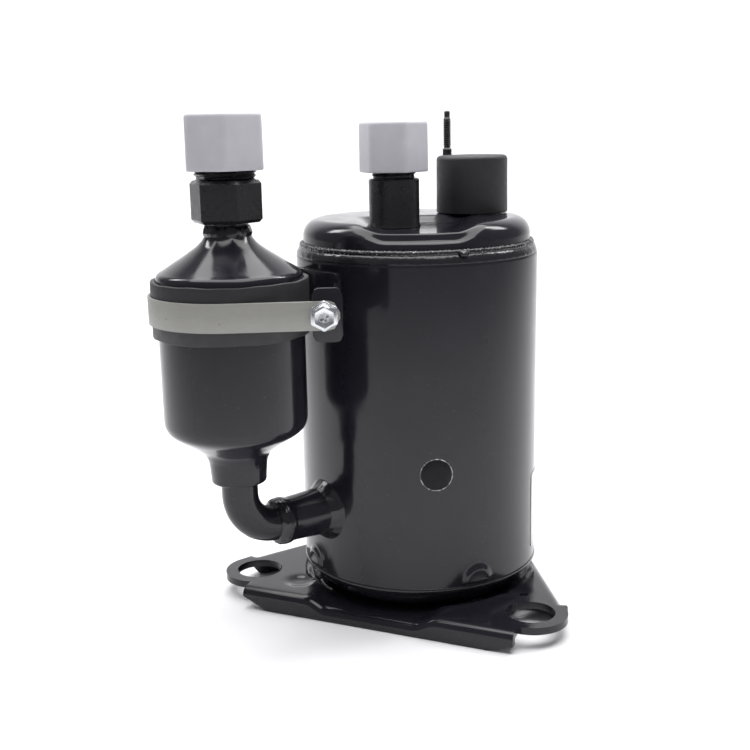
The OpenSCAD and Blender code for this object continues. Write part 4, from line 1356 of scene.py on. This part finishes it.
def stub_braze():
    """The uneven ring of brazing metal where the stub meets the case, facing +X."""
    inner, width, sides, levels = 9.4, 3.5, 144, 14
    rings = []
    for i in range(levels + 1):
        t = i / levels
        lift = 4.6 * (1 - t) ** 1.6 + 0.35 * math.sin(math.pi * t) if t < 1 else 0.0
        ring = []
        for k in range(sides):
            a = TAU * k / sides
            rough = 0.45 * noise.noise(Vector((math.cos(a) * 3.1, math.sin(a) * 3.1, t * 2)))
            rough += 0.08 * math.sin(a * 19 + 3 * t) * math.sin(math.pi * t)
            wide = inner + width * t + rough * t
            y = wide * math.sin(a)
            ring.append((math.sqrt(SHELL_R ** 2 - y * y) - 0.15 + lift * (1 + 0.25 * rough), y,
                         STUB_Z + wide * math.cos(a)))
        rings.append(ring)
    for r in (12.4, inner):
        rings.append([(math.sqrt(SHELL_R ** 2 - y * y) - 0.8, y, STUB_Z + z)
                      for z, y in round_points(r, sides)])
    return skin(rings, closed=True)


class COMPRESSOR_OT_pipes(bpy.types.Operator):
    """Build the suction elbow, the stub and their brazed joints"""
    bl_idname = "compressor.pipes"
    bl_label = "Pipes"

    def execute(self, context):
        r, wall, bend = 7.15, 1.2, 15.5
        enamel, braze = FINISHES["enamel"], FINISHES["braze"]
        facing = Matrix.Rotation(ACC_DIR, 4, "Z")
        corner = ACC_OFFSET - bend
        route = [Vector((62 + 0.5 * i, 0, STUB_Z)) for i in range(int((corner - 62) * 2))]
        route += [Vector((x, 0, z)) for x, z in arc(corner, STUB_Z + bend, bend, -90, 0, 28)]
        route += [Vector((ACC_OFFSET, 0, STUB_Z + bend + d)) for d in (2, 4, 7, 10, 14)]
        rings = pipe_rings(route, r) + pipe_rings(route, r - wall)[::-1]
        make_piece("elbow", [moved(skin(rings, closed=True), facing)], enamel,
                   ["suction_elbow"])
        stub = smooth_line([(9.6, 48), (9.6, 54), (9.45, 58), (9.15, 63), (9.0, 67), (9.1, 69.2),
                            (9.55, 70.6), (9.6, 72.2), (9.2, 73)], 4)
        stub += [(7.25, 73), (7.25, 48)]
        make_piece("stub", [moved(lathe(stub, 96), radial_frame(0, STUB_Z))], enamel,
                   ["suction_stub"])
        lip = [(7.0, 72.6), (9.3, 72.7), (9.45, 73.3), (9.1, 74.2), (8.2, 75.1), (7.4, 75.6),
               (7.0, 75.7)]
        joint = fillet_ring(smooth_line(lip, 3), 0.22, 9, 120)
        make_piece("elbow_joint", [moved(joint, radial_frame(0, STUB_Z))], braze,
                   ["elbow_braze_ring"])
        make_piece("stub_joint", [moved(stub_braze(), facing)], braze, ["stub_braze_ring"])
        return {"FINISHED"}


class COMPRESSOR_OT_terminal(bpy.types.Operator):
    """Build the terminal cover, the stud beside it and the blank label"""
    bl_idname = "compressor.terminal"
    bl_label = "Terminal and label"

    def execute(self, context):
        low, high = span_mm("terminal_cover")
        r = width_mm("terminal_cover") / 2
        cover = [(r - 0.4, low), (r - 0.05, low + 0.25), (r, low + 1.0)]
        cover += [(r - 0.1, high - 6)] + arc(r - 2.0, high - 2, 1.9, 0, 90, 8)
        cover += [(r - 4, high - 0.05), (2.6, high - 0.05), (2.0, high - 0.4)]
        cover += [(2.0, high - 2.4), (r - 2.7, high - 2.4), (r - 2.2, high - 2.9), (r - 2.2, low)]
        make_piece("cover", [moved(lathe(cover, 144), upright_frame(TERMINAL))],
                   FINISHES["rubber"], ["terminal_cover"])
        low, high = span_mm("terminal_stud")
        shoulder, core_r, pitch = 182.6, 1.45, 0.8
        stud = [(0, low), (3.2, low), (3.4, low + 0.3), (3.3, low + 1.0), (2.3, low + 1.5),
                (2.0, low + 2.4), (2.0, shoulder - 0.3), (1.75, shoulder), (core_r, shoulder + 0.4),
                (core_r, high - 3.2), (1.15, high - 2.7), (1.25, high - 2.4), (1.25, high - 0.5),
                (0.9, high), (0, high)]
        make_piece("stud", [
            moved(lathe(stud, 48), upright_frame(STUD)),
            thread(core_r, 0.34, pitch, (high - 3.2 - shoulder - 0.8) / pitch,
                   upright_frame(STUD, shoulder + 0.7))],
            FINISHES["fitting"], ["terminal_stud"], crease=28)
        low, high = span_mm("rating_label")
        film = arc(0, 0, SHELL_R + 0.15, 2.0, 40.9, 60)
        end = rounded_end((high - low) / 2, 2, True)
        make_piece("label", [moved(strip(film, 0.18, end, 0.03),
                                   Matrix.Translation((0, 0, (low + high) / 2)))],
                   FINISHES["label"], ["rating_label"])
        return {"FINISHED"}


class COMPRESSOR_OT_stage(bpy.types.Operator):
    """Set out the pale table, the backdrop, the soft lights and the camera"""
    bl_idname = "compressor.stage"
    bl_label = "Stage"

    def execute(self, context):
        scene = context.scene
        white, tree, where = new_material("matt_white_paper")
        surfaced(tree, Base_Color=linear("#f6f6f7"), Roughness=0.9,
                 Normal=raised(tree, speckle(tree, where, 1.5, 2.0), 0.01, 0.3))
        heading, pitch, roll = (math.radians(a) for a in (114.34, -12.52, -1.14))
        facing = Matrix.Rotation(heading, 4, "Z")
        floor = FLOOR_Z * MM
        path = [(-1.8, floor), (0.9, floor)] + arc(0.9, floor + 0.5, 0.5, -90, 0, 24)[1:]
        path.append((1.4, 1.8))
        mesh = bpy.data.meshes.new("paper_sweep")
        points = [facing @ Vector((x, y, z)) for x, z in path for y in (-2.0, 2.0)]
        faces = [(2 * i, 2 * i + 1, 2 * i + 3, 2 * i + 2) for i in range(len(path) - 1)]
        mesh.from_pydata(points, [], faces)
        for face in mesh.polygons:
            face.use_smooth = True
        mesh.materials.append(white)
        sweep = placed("paper_sweep", mesh)
        world = bpy.data.worlds.new("studio")
        world.use_nodes = True
        scene.world = world
        fill = world.node_tree.nodes["Background"]
        fill.inputs["Color"].default_value = linear("#d9d7de")
        fill.inputs["Strength"].default_value = 0.35
        for name, spot, aim, size, power in (
                ("overhead", (0.05, 0.0, 0.85), (0.05, 0.0, 0.0), (1.0, 1.0),
                 settings().key_power),
                ("paper_left", (0.45, 1.0, 1.1), (1.4, 0.15, 0.45), (0.5, 0.5), 9.0),
                ("paper_right", (0.45, -1.0, 1.1), (1.4, -0.15, 0.45), (0.5, 0.5), 9.0)):
            light = bpy.data.lights.new(name, "AREA")
            light.shape = "RECTANGLE"
            light.size, light.size_y = size
            light.energy = power
            lamp = placed(name, light)
            at = facing @ Vector(spot)
            lamp.location = at
            lamp.rotation_euler = (facing @ Vector(aim) - at).to_track_quat("-Z", "Y").to_euler()
        lens = bpy.data.cameras.new("camera")
        lens.lens, lens.sensor_width = 53.74, 36.0
        camera = placed("camera", lens)
        ahead = Vector((math.cos(heading) * math.cos(pitch), math.sin(heading) * math.cos(pitch),
                        math.sin(pitch)))
        level = Vector((math.sin(heading), -math.cos(heading), 0))
        upright = level.cross(ahead)
        right = math.cos(roll) * level + math.sin(roll) * upright
        over = right.cross(ahead)
        turn = Matrix((right, over, -ahead)).transposed().to_4x4()
        camera.matrix_world = Matrix.Translation(Vector((177.7, -437.6, 192.7)) * MM) @ turn
        lens.clip_start, lens.clip_end = 0.01, 20
        scene.camera = camera
        scene.view_settings.view_transform = "Standard"
        scene.view_settings.look = "None"
        return {"FINISHED"}


OPERATORS = (COMPRESSOR_OT_finishes, COMPRESSOR_OT_shell, COMPRESSOR_OT_base,
             COMPRESSOR_OT_accumulator, COMPRESSOR_OT_clamp, COMPRESSOR_OT_fittings,
             COMPRESSOR_OT_caps, COMPRESSOR_OT_pipes, COMPRESSOR_OT_terminal,
             COMPRESSOR_OT_stage)


class COMPRESSOR_PT_build(bpy.types.Panel):
    """Settings and build steps of the compressor"""
    bl_idname = "COMPRESSOR_PT_build"
    bl_label = "Rotary compressor"
    bl_space_type = "VIEW_3D"
    bl_region_type = "UI"
    bl_category = "Compressor"

    def draw(self, context):
        column = self.layout.column()
        for name in CompressorSettings.__annotations__:
            column.prop(context.scene.compressor, name)
        column.separator()
        for operator in OPERATORS:
            column.operator(operator.bl_idname)


CLASSES = (CompressorSettings, *OPERATORS, COMPRESSOR_PT_build)


def register():
    for cls in CLASSES:
        bpy.utils.register_class(cls)
    bpy.types.Scene.compressor = bpy.props.PointerProperty(type=CompressorSettings)


def unregister():
    del bpy.types.Scene.compressor
    for cls in reversed(CLASSES):
        bpy.utils.unregister_class(cls)


def main():
    register()
    for operator in OPERATORS:
        group, name = operator.bl_idname.split(".")
        getattr(getattr(bpy.ops, group), name)()


if __name__ == "__main__":
    main()
